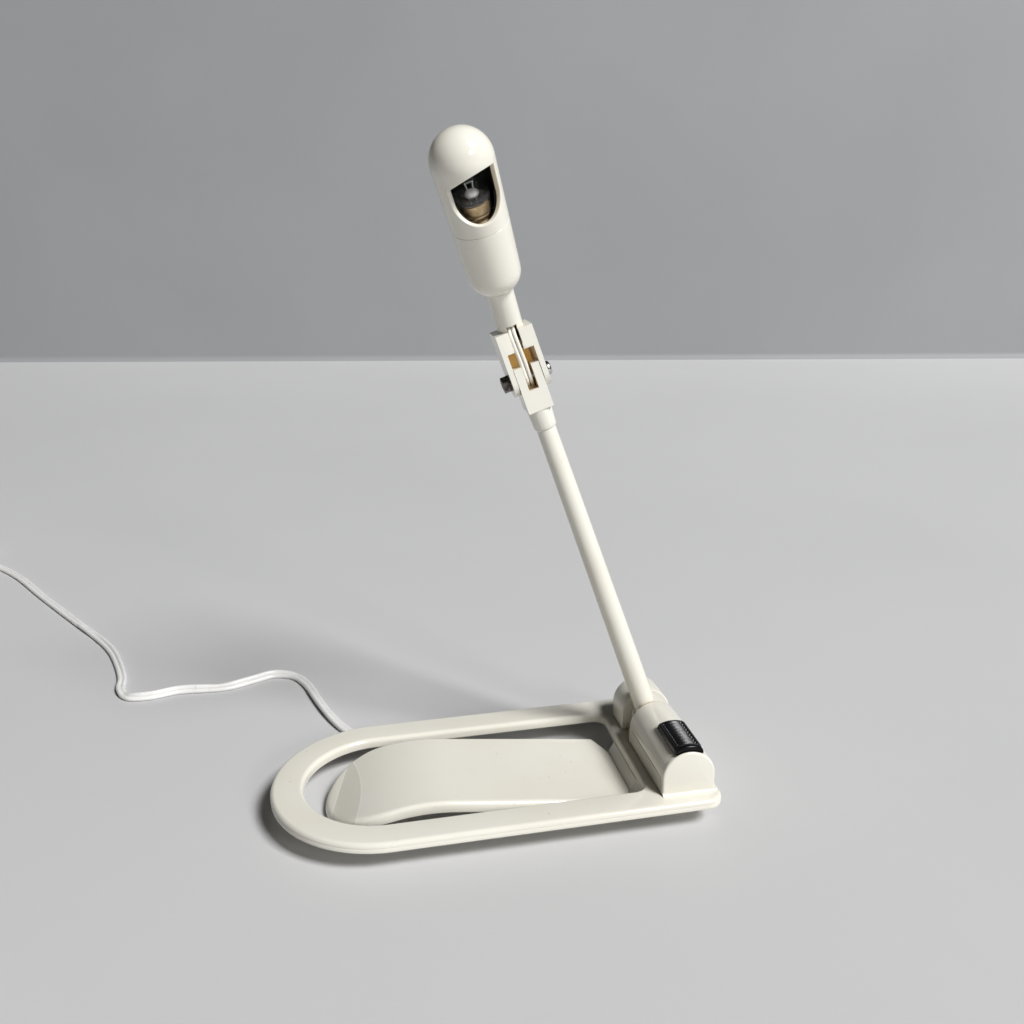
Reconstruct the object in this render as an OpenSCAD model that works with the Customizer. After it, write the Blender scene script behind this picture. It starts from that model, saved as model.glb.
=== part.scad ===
// Clip-on book light: an open clip frame with a springy tongue, a hinged arm with a
// friction elbow, and a capsule head whose shade turns round a small screw-cap bulb.
// X runs from the round end of the clip towards the hinge, Y to the back, Z up.
// The origin is on the table, below the middle of the clip frame.

/* [Clip frame] */
// Overall length of the clip frame
frame_l = 173; // [165:1:185]
// Overall width of the clip frame
frame_w = 88; // [84:1:96]
// Width of a side rail
rail_w = 13; // [10:0.5:15]
// Thickness of the frame
frame_t = 4.2; // [3.4:0.1:6]
// Radius on the frame's top edges
frame_edge_r = 1.8; // [0.6:0.1:2.4]
// Height of the frame's underside above the table
frame_lift = 9; // [9:0.5:12]
// Radius of the frame's two corners at the hinge end
corner_r = 7; // [4:0.5:10]
// Width of the crossbar at the hinge end
bar_w = 28; // [27:0.5:32]
// Radius of the opening's corners beside the crossbar
opening_r = 5; // [3:0.5:8]

/* [Hinge housing] */
// Distance from the hinge axis to the frame's hinge end
hinge_setback = 13.2; // [12.6:0.1:15]
// Height of the hinge axis above the frame's top
hinge_rise = 7.1; // [7:0.1:9]
// Outer radius of the housing
housing_r = 10.7; // [10.2:0.1:11.4]
// Wall of the switch cover and of the housing's sides
cover_wall = 1.8; // [1.2:0.1:2.2]
// Distance from the near edge of the frame to the housing's near end
housing_inset = 6.5; // [4:0.5:8]
// Thickness of the housing's near end wall
end_wall = 3; // [2:0.25:4]
// Radius of the fillet at the foot of the housing's ends
foot_fillet_r = 2; // [1:0.25:2.4]
// Place of the arm behind the frame's centre line
arm_y = 10; // [6:0.5:12]
// Width of the slot that the arm turns in
slot_w = 10.2; // [10:0.1:12]
// Length of the far ear
ear_l = 14; // [10:0.5:18]
// Thickness of the bearing wall on the near side of the slot
bearing_wall = 3; // [2:0.25:4]

/* [Hinge] */
// Diameter of the hinge bolt
bolt_d = 4; // [3:0.25:4.5]
// Running clearance round a pin, on the radius
pin_clear = 0.05; // [0.02:0.01:0.09]
// Thickness of a friction washer
washer_t = 0.5; // [0.3:0.05:0.6]
// Radius of the hub's drum
hub_r = 6.6; // [6:0.1:6.8]
// Angle of the hub's shield, from the arm backwards
shield_angle = 59; // [40:1:65]

/* [Switch] */
// Length of the switch slider
slider_l = 21.4; // [18:0.2:24]
// Height of the slider above the cover
slider_rise = 2.3; // [1:0.1:2.6]
// Width of the slider across the cover
slider_w = 11.2; // [9:0.2:12.4]
// Number of grip grooves on the slider
groove_count = 9; // [5:1:10]
// Distance from one grip groove to the next
groove_pitch = 2; // [1.4:0.1:2.1]
// Travel of the slider
slider_travel = 4; // [2:0.5:5]
// Width of the slider's stem
stem_w = 3; // [2:0.25:4]
// Length of the slider's stem
stem_l = 8; // [6:0.5:9]

/* [Tray and tongue] */
// Width of the tray below the crossbar
tray_w = 30.5; // [28:0.5:34]
// Place of the tray's middle, behind the frame's centre line
tray_y = -2.25; // [-4:0.25:0]
// Wall and floor of the tray
tray_wall = 2; // [1.5:0.1:2.5]
// Diameter of the tray screws
tray_screw_d = 2.4; // [2:0.1:3]
// Width of the tongue
tongue_w = 50; // [40:1:52]
// Depth of the tongue's edge
tongue_edge = 4.5; // [3.5:0.1:5]
// Skin of the tongue
tongue_skin = 2.2; // [1.5:0.1:2.8]
// Gap between the tongue's tip and the frame
tip_gap = 8; // [5:0.5:12]
// Height of the tongue's crest above the table
crest_z = 14.8; // [13:0.1:16]
// Distance from the tongue's tip to its crest
crest_reach = 39; // [34:0.5:42]
// Radius of the tongue's crest
crest_r = 73; // [66:1:90]
// Slope of the tongue from its crest down to its root
tongue_slope = 7.5; // [6:0.1:8]

/* [Arm] */
// Lean of the arm away from the hinge end
arm_lean = 19.1; // [0:0.1:30]
// Radius of the arm tube at its foot
tube_foot_r = 4.7; // [4.2:0.05:4.8]
// Radius of the arm tube at its top
tube_top_r = 3.8; // [3.5:0.05:4.2]
// Bore radius of the arm tube
tube_bore_r = 2.7; // [2.2:0.05:3]
// Distance from the hinge axis to the elbow pin
elbow_reach = 159.6; // [140:0.5:175]

/* [Elbow] */
// Width and depth of the elbow block
block_w = 10; // [9.5:0.1:11]
// Height of the elbow block
block_h = 18; // [15:0.1:21]
// Height of the block above the elbow pin
block_head = 5.1; // [4:0.1:5.4]
// Length of the collar below the block
collar_l = 8.4; // [6:0.1:11]
// Width of the lead slot in the block and of the groove in the yoke
lead_slot_w = 3.8; // [3.5:0.1:4.4]
// Depth of the lead slot below the top of the block
lead_slot_h = 9.5; // [8.5:0.1:11]
// Diameter of the elbow screw
screw_d = 3; // [2.5:0.1:3.2]
// Thickness of a yoke ear
ear_t = 2; // [1.6:0.1:3]
// Gap between an ear and the block
ear_gap = 0.2; // [0.15:0.05:0.4]
// Depth of the yoke from front to back
yoke_d = 12; // [11.6:0.1:13]
// Thickness of the web across the yoke's back
web_t = 1.4; // [1:0.1:1.6]
// Height of the yoke's crotch above the elbow pin
crotch_h = 11.2; // [9.5:0.1:13]
// Height of the yoke's flat top above the elbow pin
yoke_h = 19; // [17:0.1:22]
// Lean of the neck forward of the yoke
neck_lean = 22; // [10:0.5:30]
// Radius of the neck
neck_r = 5; // [4.4:0.1:5.4]
// Length of the neck above the yoke
neck_l = 17.6; // [14:0.1:20]

/* [Head] */
// Radius of the shade's dome
dome_r = 11; // [10.6:0.1:11.6]
// Length of the head
head_l = 61.5; // [58:0.5:68]
// Taper of the head's side, on each side
head_taper = 1.75; // [0.8:0.05:2]
// Wall of the cup and the shade
head_wall = 1.8; // [1.4:0.1:1.9]
// Radius round the bottom of the cup
cup_round_r = 8; // [7:0.1:8.6]
// Height of the seam between cup and shade above the cup's bottom
seam_h = 27; // [25:0.5:29]
// Gap that shows at the seam
seam_gap = 0.2; // [0.1:0.05:0.3]
// Length of the shade's lip inside the cup
lip_l = 4; // [3:0.25:5]
// Turn of the window about the head, to the right
window_turn = 0; // [-60:1:60]
// Width of the window across its round lower end
window_w = 17; // [12:0.5:17.5]
// Angle about the head from the window's middle to one side
window_half_angle = 52; // [40:1:54]
// Height of the window's lower end above the seam
window_low = 4.2; // [3:0.1:6]
// Height above the seam of the plane of the window's brow, on the head's axis
window_top = 16.5; // [15:0.25:17]
// Slope of the brow, up towards the window
brow_slope = 27.9; // [0:0.1:30]
// Turn of the brow's slope from the window's middle, to the right
brow_turn = 22; // [-30:1:30]
// Thickness of the metal liner
liner_t = 0.4; // [0.3:0.05:0.6]

/* [Bulb] */
// Radius of the bulb's screw cap
cap_r = 5.9; // [5.6:0.05:6]
// Length of the bulb's screw cap
cap_l = 17; // [15:0.25:18]
// Radius of the bulb's round glass
glass_r = 6.6; // [6.2:0.05:7]
// Wall of the bulb's glass
glass_wall = 0.5; // [0.4:0.05:0.8]
// Height of the top of the cap above the seam
cap_rise = 9; // [8:0.25:10]

/* [Cord] */
// Width of the flat two-core cord
cord_w = 4.5; // [4:0.1:5]
// Thickness of the flat cord
cord_t = 2.3; // [2:0.1:2.4]
// Length of the tapered cord bush outside the tray
bush_l = 20; // [16:0.5:24]
// Diameter of one insulated lead
lead_d = 1.5; // [1.2:0.05:1.6]
// Radius of the outermost turn of the stored coil
coil_r = 31; // [30:0.5:34]
// Turns of the coil in each of its two layers
layer_turns = 3.5; // [2.5:1:4.5]
// Distance from one turn to the next
coil_pitch = 2.85; // [2.8:0.05:3.2]
// Distance from the lower layer to the upper one
layer_pitch = 5.2; // [5.1:0.05:5.8]
// Thickness of the tie round the coil
tie_t = 0.6; // [0.4:0.1:1]
// Width of the tie
tie_w = 4; // [3:0.5:6]
// Width of the plug's body
plug_w = 27; // [25:0.5:32]
// Length of the plug's body
plug_l = 24; // [20:0.5:30]
// Length of the plug's tapered tail
tail_l = 14; // [10:0.5:20]
// Diameter of a plug pin
plug_pin_d = 4; // [3.8:0.1:4.8]
// Length of a plug pin
plug_pin_l = 19; // [15:0.5:19]
// Distance between the plug pins
plug_pin_gap = 19; // [16:0.5:19]

/* [Hidden] */
$fn = 64;

// Small overlap that joins pieces of one moulding
join = 0.5;
// Clearance of pieces that sit in each other
sit_gap = 0.2;

// Places of the frame, the crossbar and the hinge
end_x = -frame_l / 2 + frame_w / 2;
bar_x = frame_l / 2 - bar_w;
frame_top = frame_lift + frame_t;
hinge_x = frame_l / 2 - hinge_setback;
hinge_z = frame_top + hinge_rise;
slot_near = arm_y - slot_w / 2;
slot_far = arm_y + slot_w / 2;
housing_near = -frame_w / 2 + housing_inset;
cover_near = housing_near + end_wall;
cover_inner_r = housing_r - cover_wall;
bearing_r = cover_inner_r - sit_gap;
bolt_head_r = 3.6;
bolt_head_t = 3;
nut_t = 3.2;
nut_r = 3.9;
hub_w = slot_w - 2 * washer_t;

// Places of the switch
slider_in_r = housing_r + sit_gap;
slider_out_r = slider_in_r + slider_rise;
slider_near = housing_near + 0.6;
slider_mid = slider_near + slider_l / 2;
switch_h = 4;
switch_w = 10;
switch_near = cover_near + 2;
switch_far = switch_near + 25;
contact_y = tray_y - 9;
contact_x = 2.6;
contact_l = 4;
contact_t = 0.8;

// Places of the tray and the tongue
tray_near = tray_y - tray_w / 2;
tray_far = tray_y + tray_w / 2;
tray_x = bar_x - 2.6;
tray_end = frame_l / 2 - 2;
tray_step = 4.6;
post_r = 2.7;
post_inset = 5.2;
screw_head_r = 2.3;
screw_head_t = 1.1;
screw_recess = 1.3;
posts = [[tray_x + post_inset + 2.3, tray_near + post_inset],
         [tray_end - post_inset, tray_near + post_inset],
         [tray_end - post_inset, tray_far - post_inset]];
root_x = tray_x - 0.1;
tip_x = -frame_l / 2 + rail_w + tip_gap;
crest_x = tip_x + crest_reach;

// Places along the arm, measured from the hinge axis
tube_foot = 5.5;
block_top = elbow_reach + block_head;
block_low = block_top - block_h;
collar_low = block_low - collar_l;
tube_top = block_low - 2;
collar_r = block_w / 2 - 0.2;

// Sizes of the elbow and the leads that cross it
ear_in = block_w / 2 + ear_gap;
ear_out = ear_in + ear_t;
yoke_mid = 0.8;
web_low = 3;
slot_back = 3;
lead_y = lead_d * 0.52;
lead_front = yoke_d / 2 - yoke_mid - 1;
groove_d = 2.6;
neck_bore_r = 2.6;
screw_head_d = 5.6;
elbow_head_t = 2;
elbow_nut_r = 3.175;
elbow_nut_t = 2.4;
elbow_washer_t = 0.6;

// Sizes of the head, measured from the bottom of the cup
neck_sink = 0.6;
dome_z = head_l - dome_r;
round_x = (dome_r - cup_round_r - (dome_z - cup_round_r) * sin(head_taper)) / cos(head_taper);
seam_r = (dome_r - (dome_z - seam_h) * sin(head_taper)) / cos(head_taper);
lip_bore_r = seam_r - head_wall + 0.1;
lip_r = lip_bore_r - pin_clear;
holder_r = lip_r - 1.4;
holder_low = cup_round_r - sqrt(pow(cup_round_r - head_wall, 2) - pow(holder_r + sit_gap - round_x, 2));
foot_r = 4.4;
foot_low = cup_round_r - sqrt(pow(cup_round_r - head_wall, 2) - pow(foot_r - round_x, 2));
shell_t = 0.3;
cap_top = seam_h + cap_rise;
cap_low = cap_top - cap_l;
cap_seat = 1.1;
base_h = 3.5;
tip_h = 1;
contact_z = cap_low - base_h - tip_h;
glass_z = cap_top + sqrt(pow(glass_r, 2) - pow(cap_r - 0.4, 2));

// Places of the cord, its coil and its plug
bush_x = hinge_x - 9.3;
bush_z = 4.5;
bush_r = 3.4;
bush_end_r = 2.7;
bush_end = tray_far + bush_l;
cord_z = cord_t / 2 + 0.05;
coil_at = [-312, 358];
coil_low_z = tie_t + 0.1 + cord_w / 2;
coil_high_z = coil_low_z + layer_pitch;
coil_dip = 1;
coil_tail = 14;
coil_rings = 24;
coil_sides = 6;
coil_in_r = coil_r - coil_pitch * layer_turns;
coil_turns = 2 * layer_turns + 0.5;
cord_sides = 8;
plug_z = coil_high_z;
cord_route = [[bush_x, bush_end, bush_z], [bush_x, bush_end + 4, 4], [bush_x - 1, 42, 3],
              [bush_x - 5, 47, 2], [bush_x - 12, 50, cord_z], [bush_x - 22, 51, cord_z],
              [26, 51, cord_z], [8, 51, cord_z],
              [-10, 51, cord_z], [-26, 51, cord_z], [-38, 52, cord_z], [-47, 56, cord_z],
              [-53, 62, cord_z], [-58, 72, cord_z], [-62, 83, cord_z], [-66, 97, cord_z],
              [-70, 112, cord_z], [-76, 123, cord_z], [-86, 127, cord_z], [-97, 123, cord_z],
              [-108, 119, cord_z], [-120, 119, cord_z], [-133, 120, cord_z],
              [-146, 117, cord_z], [-156, 119, cord_z], [-161, 128, cord_z],
              [-162, 141, cord_z], [-166, 158, cord_z], [-172, 176, cord_z],
              [-181, 194, cord_z], [-195, 217, cord_z], [-210, 242, cord_z],
              [-226, 269, cord_z], [-243, 299, cord_z], [-256, 318, cord_z],
              [-269, 333, 1.4], [-278, 344, 2], [-281, 349, 2.6],
              [coil_at[0] + coil_r, coil_at[1] - cord_w, coil_low_z]];

function unit(v) = v / norm(v);

// A smooth curve through a list of points, with n steps between two points
function curve_at(a, b, c, d, t) =
    0.5 * (2 * b + (c - a) * t + (2 * a - 5 * b + 4 * c - d) * t * t
           + (3 * b - a - 3 * c + d) * t * t * t);
function curve(p, n) =
    [for (i = [0:len(p) - 2]) for (j = [0:n - 1])
        curve_at(p[max(i - 1, 0)], p[i], p[i + 1], p[min(i + 2, len(p) - 1)], j / n),
     p[len(p) - 1]];

// Direction of a path at one of its points
function heading(p, i) = unit(p[min(i + 1, len(p) - 1)] - p[max(i - 1, 0)]);

// Ring of a tube: half sizes a (across) and b (along the reference), square to the path
function ring(p, i, a, b, sides, ref) =
    let (t = heading(p, i), s = unit(cross(t, ref)), u = cross(s, t))
    [for (k = [0:sides - 1]) p[i] + a * cos(360 * k / sides) * s + b * sin(360 * k / sides) * u];

// Triangles of a closed tube of n rings
function tube_faces(n, sides) = concat(
    [for (i = [0:n - 2]) for (k = [0:sides - 1])
        [i * sides + k, (i + 1) * sides + (k + 1) % sides, i * sides + (k + 1) % sides]],
    [for (i = [0:n - 2]) for (k = [0:sides - 1])
        [i * sides + k, (i + 1) * sides + k, (i + 1) * sides + (k + 1) % sides]],
    [for (k = [1:sides - 2]) [0, k, k + 1]],
    [for (k = [1:sides - 2]) [(n - 1) * sides, (n - 1) * sides + k + 1, (n - 1) * sides + k]]);

// Tube swept along a path
module swept(p, a, b, sides, ref) {
    polyhedron(points = [for (i = [0:len(p) - 1]) each ring(p, i, a, b, sides, ref)],
               faces = tube_faces(len(p), sides));
}

// Frame of the hinge housing: a flat shape in X and Z about the hinge axis, between two Y places
module along_y(y0, y1) {
    translate([hinge_x, y1, hinge_z]) rotate([90, 0, 0]) linear_extrude(y1 - y0) children();
}

// Frame of the arm: Z along the arm from the hinge axis, X along the elbow screw
module on_arm() {
    translate([hinge_x, arm_y, hinge_z]) rotate([0, -arm_lean, 0]) children();
}

// Frame of the elbow: origin on the elbow pin
module on_elbow() {
    on_arm() translate([0, 0, elbow_reach]) children();
}

// Frame of the neck: Z along the neck and the head, origin on the yoke's flat top
module on_neck() {
    on_elbow() translate([0, yoke_mid, yoke_h]) rotate([neck_lean, 0, 0]) children();
}

// Frame of the head: origin at the bottom of the cup
module on_head() {
    on_neck() translate([0, 0, neck_l - neck_sink]) children();
}

// Cylinder along X, centred on the axis
module along_x(x0, x1, r) {
    translate([x0, 0, 0]) rotate([0, 90, 0]) cylinder(h = x1 - x0, r = r);
}

// Bar section with its two top edges rounded
module edged_bar(w, h, e) {
    square([w, h - e]);
    translate([e, 0]) square([w - 2 * e, h]);
    for (x = [e, w - e]) translate([x, h - e]) circle(e);
}

// Frame ring: two rails and a half-round end
module frame_ring() {
    translate([end_x, 0, frame_lift]) rotate([0, 0, 90]) rotate_extrude(angle = 180)
        translate([frame_w / 2 - rail_w, 0]) edged_bar(rail_w, frame_t, frame_edge_r);
    for (y = [-frame_w / 2, frame_w / 2 - rail_w])
        translate([end_x, y, frame_lift]) rotate([90, 0, 90])
            linear_extrude(frame_l / 2 - corner_r - end_x) edged_bar(rail_w, frame_t, frame_edge_r);
}

// Crossbar with two rounded corners, and the fillets where it meets the rails
module crossbar() {
    side = frame_w / 2 - corner_r;
    translate([bar_x, side, frame_lift]) rotate([90, 0, 0])
        linear_extrude(2 * side) edged_bar(bar_w, frame_t, frame_edge_r);
    for (s = [-1, 1]) {
        translate([frame_l / 2 - corner_r, s * side, frame_lift]) rotate_extrude()
            intersection() {
                translate([-corner_r, 0]) edged_bar(2 * corner_r, frame_t, frame_edge_r);
                square([corner_r, frame_t]);
            }
        translate([bar_x, s * (frame_w / 2 - rail_w), frame_lift])
            linear_extrude(frame_t - frame_edge_r) inner_fillet(s);
    }
}

// Fillet in one corner of the frame's opening
module inner_fillet(s) {
    difference() {
        translate([-opening_r, s > 0 ? -opening_r : -join]) square([opening_r + join, opening_r + join]);
        translate([-opening_r, -s * opening_r]) circle(opening_r);
    }
}

// Housing section: a half-round top on straight sides, standing on the frame
module housing_section(r) {
    circle(r);
    translate([-r, -hinge_rise - join]) square([2 * r, hinge_rise + join]);
}

// Concave foot between the housing and the frame's end flange
module foot_section() {
    difference() {
        translate([housing_r - join, -hinge_rise - join])
            square([foot_fillet_r + join, foot_fillet_r + join]);
        translate([housing_r + foot_fillet_r, foot_fillet_r - hinge_rise]) circle(foot_fillet_r);
    }
}

// Walls that stand on the crossbar: near end, two sides, bearing wall and far ear
module housing_walls() {
    along_y(housing_near, cover_near) {
        housing_section(housing_r);
        foot_section();
    }
    along_y(slot_far, slot_far + ear_l) {
        housing_section(housing_r);
        foot_section();
    }
    along_y(slot_near - bearing_wall, slot_near) housing_section(bearing_r);
    along_y(cover_near - join, slot_near)
        translate([-housing_r, -hinge_rise - join]) square([cover_wall, hinge_rise + join]);
    along_y(cover_near - join, slot_far + join)
        translate([housing_r - cover_wall, -hinge_rise - join]) square([cover_wall, hinge_rise + join]);
}

// Posts below the crossbar that take the tray's screws
module tray_posts() {
    for (p = posts) translate([p[0], p[1], tray_wall])
        cylinder(h = frame_lift + join - tray_wall, r = post_r);
}

// Clip frame: rails, crossbar and hinge housing in one moulding
module clip_frame() {
    color("ivory") difference() {
        union() {
            frame_ring();
            crossbar();
            housing_walls();
            tray_posts();
        }
        along_y(slot_near - bearing_wall - join, slot_far + ear_l + join) circle(bolt_d / 2);
        along_y(slot_far + ear_l - bolt_head_t - 1, slot_far + ear_l + join) circle(bolt_head_r + sit_gap);
        translate([hinge_x - contact_x - 2, contact_y - contact_l / 2 - 1, frame_lift - join])
            cube([2 * contact_x + 4, contact_l + 2, frame_t + 2 * join]);
        translate([lead_hole_x - 2.2, arm_y - 3, frame_lift - join]) cube([4.4, 6, frame_t + 2 * join]);
        for (p = posts) translate([p[0], p[1], -join]) cylinder(h = frame_lift, r = tray_screw_d / 2);
    }
}

// Place where the leads rise through the crossbar, below the hub's lead channel
lead_hole_x = hinge_x - 1.6;

// Switch cover: half-round shell with a slot for the slider's stem
module switch_cover() {
    color("ivory") difference() {
        along_y(cover_near, slot_near) difference() {
            intersection() {
                circle(housing_r);
                translate([-housing_r, 0]) square([2 * housing_r, housing_r]);
            }
            circle(cover_inner_r);
        }
        translate([hinge_x - stem_w / 2 - sit_gap, slider_mid - stem_l / 2 - sit_gap, hinge_z])
            cube([stem_w + 2 * sit_gap, stem_l + slider_travel + 2 * sit_gap, 2 * housing_r]);
    }
}

// Tray below the crossbar: floor and walls, open to the top, with a sloped front panel
module tray() {
    color("ivory") difference() {
        translate([0, tray_far, 0]) rotate([90, 0, 0]) linear_extrude(tray_w)
            polygon([[tray_x, 0], [tray_end, 0], [tray_end, frame_lift],
                     [bar_x, frame_lift], [tray_x, tray_step]]);
        translate([0, tray_far - tray_wall, 0]) rotate([90, 0, 0]) linear_extrude(tray_w - 2 * tray_wall)
            polygon([[tray_x + tray_wall, tray_wall], [tray_end - tray_wall, tray_wall],
                     [tray_end - tray_wall, frame_lift + join], [bar_x + tray_wall, frame_lift + join],
                     [tray_x + tray_wall, tray_step]]);
        for (p = posts) translate([p[0], p[1], -join]) {
            cylinder(h = tray_wall + 2 * join, r = tray_screw_d / 2 + sit_gap);
            cylinder(h = screw_recess + join, r = screw_head_r + sit_gap);
        }
        translate([bush_x, tray_far - tray_wall - join, bush_z]) rotate([-90, 0, 0])
            cylinder(h = tray_wall + 2 * join, r = bush_r);
    }
}

// Tray screws, driven up into the frame's posts
module tray_screws() {
    color("dimgray") for (p = posts) translate([p[0], p[1], screw_recess - screw_head_t]) {
        difference() {
            cylinder(h = screw_head_t, r = screw_head_r);
            for (a = [0, 90]) rotate([0, 0, a]) translate([-1.3, -0.25, -join]) cube([2.6, 0.5, join + 0.5]);
        }
        cylinder(h = frame_lift - 2 * screw_recess, r = tray_screw_d / 2);
    }
}

// Ring sector about the hinge axis, from a start angle left of the top to an end angle right of it
module sector(r, a0, a1) {
    far = 2 * r;
    intersection() {
        circle(r);
        polygon([[0, 0], [far * sin(a0), far * cos(a0)], [far * sin((a0 + a1) / 2), far * cos((a0 + a1) / 2)],
                 [far * sin(a1), far * cos(a1)]]);
    }
}

// Switch slider: ribbed grip that rides on the cover, with a stem through its slot
module switch_slider() {
    color("black") {
        difference() {
            along_y(slider_near, slider_near + slider_l) difference() {
                intersection() {
                    circle(slider_out_r);
                    translate([-slider_w / 2, 0]) square([slider_w, 2 * slider_out_r]);
                }
                circle(slider_in_r);
            }
            for (i = [0:groove_count - 1])
                along_y(slider_near + slider_l - 1.4 - i * groove_pitch,
                        slider_near + slider_l - 0.8 - i * groove_pitch)
                    difference() {
                        circle(slider_out_r + 1);
                        circle(slider_out_r - 0.5);
                    }
        }
        translate([hinge_x - stem_w / 2, slider_mid - stem_l / 2, hinge_z + switch_h - 1.5])
            cube([stem_w, stem_l, slider_in_r + 0.4 - switch_h + 1.5]);
    }
}

// Switch body: moulded block on the crossbar, with a track for the slider's stem
module switch_body() {
    color("saddlebrown") difference() {
        translate([hinge_x - switch_w / 2, switch_near, frame_top])
            cube([switch_w, switch_far - switch_near, hinge_rise + switch_h]);
        translate([hinge_x - stem_w / 2 - sit_gap, slider_mid - stem_l / 2 - sit_gap, hinge_z + switch_h - 2])
            cube([stem_w + 2 * sit_gap, stem_l + slider_travel + 2 * sit_gap, 2 + join]);
    }
}

// Switch contacts: two brass tags that reach down into the tray
module switch_contacts() {
    color("goldenrod") for (s = [-1, 1])
        translate([hinge_x + s * contact_x - contact_t / 2, contact_y - contact_l / 2, frame_lift - 3.5])
            cube([contact_t, contact_l, frame_top - frame_lift + 3.5]);
}

// Cord bush: moulded on the cord, held in the tray's far wall, tapering outside
module cord_bush() {
    color("ivory") translate([bush_x, tray_far - tray_wall - 1.6, bush_z]) rotate([-90, 0, 0])
        rotate_extrude() polygon([[0, 0], [bush_r + 0.5, 0], [bush_r + 0.5, 1.6], [bush_r, 1.6],
                                  [bush_r, tray_wall + 1.6], [bush_end_r, tray_wall + 1.6 + bush_l],
                                  [0, tray_wall + 1.6 + bush_l]]);
}

// Inner leads: the cord's two cores and the two lamp leads, inside the tray
module inner_leads() {
    start = tray_far - tray_wall - 1.6;
    tag_y = contact_y + contact_l / 2;
    tag_z = frame_lift - 2.7;
    top_z = frame_top - 0.4;
    ref = [0.6, -0.5, 0.6];
    to_end = [1.2, 0.6, 0];
    from_end = [0, 0.6, 1.2];
    routes = [
        [[bush_x - 1, start, bush_z], [bush_x - 1, start - 2, bush_z], [bush_x - 1, start - 4, bush_z],
         [bush_x + 1.5, -1, 4.5], [hinge_x - contact_x - 0.8, tag_y + 5, 5.6],
         for (e = to_end) [hinge_x - contact_x, tag_y + e, tag_z]],
        [[bush_x + 1, start, bush_z], [bush_x + 1, start - 1, bush_z], [bush_x + 1, start - 2, bush_z],
         [bush_x + 4, 2.4, 4.2], for (e = to_end) [joint_x - e, joint_y + 0.95, joint_z]],
        [for (e = from_end) [joint_x - e, joint_y - 0.95, joint_z],
         [joint_x - 2.8, joint_y - 0.4, joint_z + 1],
         [joint_x - 2.4, 3, 6.8], [lead_hole_x - 0.9, arm_y - 3, 7.6],
         [lead_hole_x, arm_y - 0.95, 10], [lead_hole_x, arm_y - 0.95, top_z]],
        [for (e = from_end) [hinge_x + contact_x, tag_y + e, tag_z], [hinge_x + contact_x, tag_y + 5, 7],
         [hinge_x + 1.7, 2, 7.6], [lead_hole_x + 0.9, arm_y - 1.2, 8],
         [lead_hole_x, arm_y + 0.95, 10.4], [lead_hole_x, arm_y + 0.95, top_z]]];
    color("white") for (p = routes) swept(curve(p, 4), lead_d / 2, lead_d / 2, cord_sides, ref);
}

// Place of the crimped joint in the tray
joint_x = hinge_x - 1.3;
joint_y = 0;
joint_z = 4.2;

// Lead joint: closed crimp cap over a core and a lamp lead
module lead_joint() {
    color("whitesmoke") translate([joint_x, joint_y, joint_z]) along_x(0, 8, 1.9);
}

// Hinge bolt: shank through the housing and the hub, head in the far ear
module hinge_bolt() {
    color("silver") difference() {
        union() {
            along_y(slot_near - bearing_wall - nut_t - 1, slot_far + ear_l - bolt_head_t) circle(bolt_d / 2);
            along_y(slot_far + ear_l - bolt_head_t - 1, slot_far + ear_l - 1) circle(bolt_head_r);
        }
        translate([hinge_x - bolt_head_r - 1, slot_far + ear_l - 2, hinge_z - 0.5])
            cube([2 * bolt_head_r + 2, 2, 1]);
    }
}

// Hinge nut: hexagon against the bearing wall, inside the switch cover
module hinge_nut() {
    color("silver") along_y(slot_near - bearing_wall - nut_t, slot_near - bearing_wall) difference() {
        circle(nut_r, $fn = 6);
        circle(bolt_d / 2);
    }
}

// Friction washers: one on each side of the hub
module friction_washers() {
    color("gainsboro") for (y = [slot_near, slot_far - washer_t])
        along_y(y, y + washer_t) difference() {
            circle(hub_r - 1.3);
            circle(bolt_d / 2 + pin_clear);
        }
}

// Outline of the tongue seen from above, drawn in by a wall
module tongue_outline(wall) {
    half = tongue_w / 2 - wall;
    shoulder_x = root_x - 4.7;
    translate([tip_x + tongue_w / 2, 0]) circle(half);
    translate([tip_x + tongue_w / 2, -half]) square([shoulder_x - tip_x - tongue_w / 2 - wall, 2 * half]);
    polygon([[shoulder_x - wall, -half], [root_x, tray_near + wall], [root_x, tray_far - wall],
             [shoulder_x - wall, half]]);
}

// Side view of everything under the tongue's top, lowered by a depth
module tongue_side(depth) {
    top_r = crest_r - depth;
    translate([crest_x, crest_z - crest_r]) rotate(-tongue_slope) {
        intersection() {
            circle(top_r, $fn = 180);
            translate([-2 * crest_r, -2 * crest_r]) square([2 * crest_r, 4 * crest_r]);
        }
        square([root_x - crest_x + crest_z, top_r]);
    }
}

// Solid between the table and the tongue's top, lowered by a depth and drawn in by a wall
module tongue_block(wall, depth) {
    intersection() {
        linear_extrude(crest_z + 1) tongue_outline(wall);
        translate([0, tongue_w, 0]) rotate([90, 0, 0]) linear_extrude(2 * tongue_w) tongue_side(depth);
    }
}

// Clip tongue: curved springy leaf with a turned-down edge, resting on its tip
module clip_tongue() {
    color("ivory") difference() {
        tongue_block(0, 0);
        translate([0, tongue_w, 0]) rotate([90, 0, 0]) linear_extrude(2 * tongue_w) difference() {
            tongue_side(tongue_edge);
            translate([tip_x - 1, -1]) square([3, 3]);
        }
        tongue_block(tongue_skin, tongue_skin);
    }
}

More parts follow.
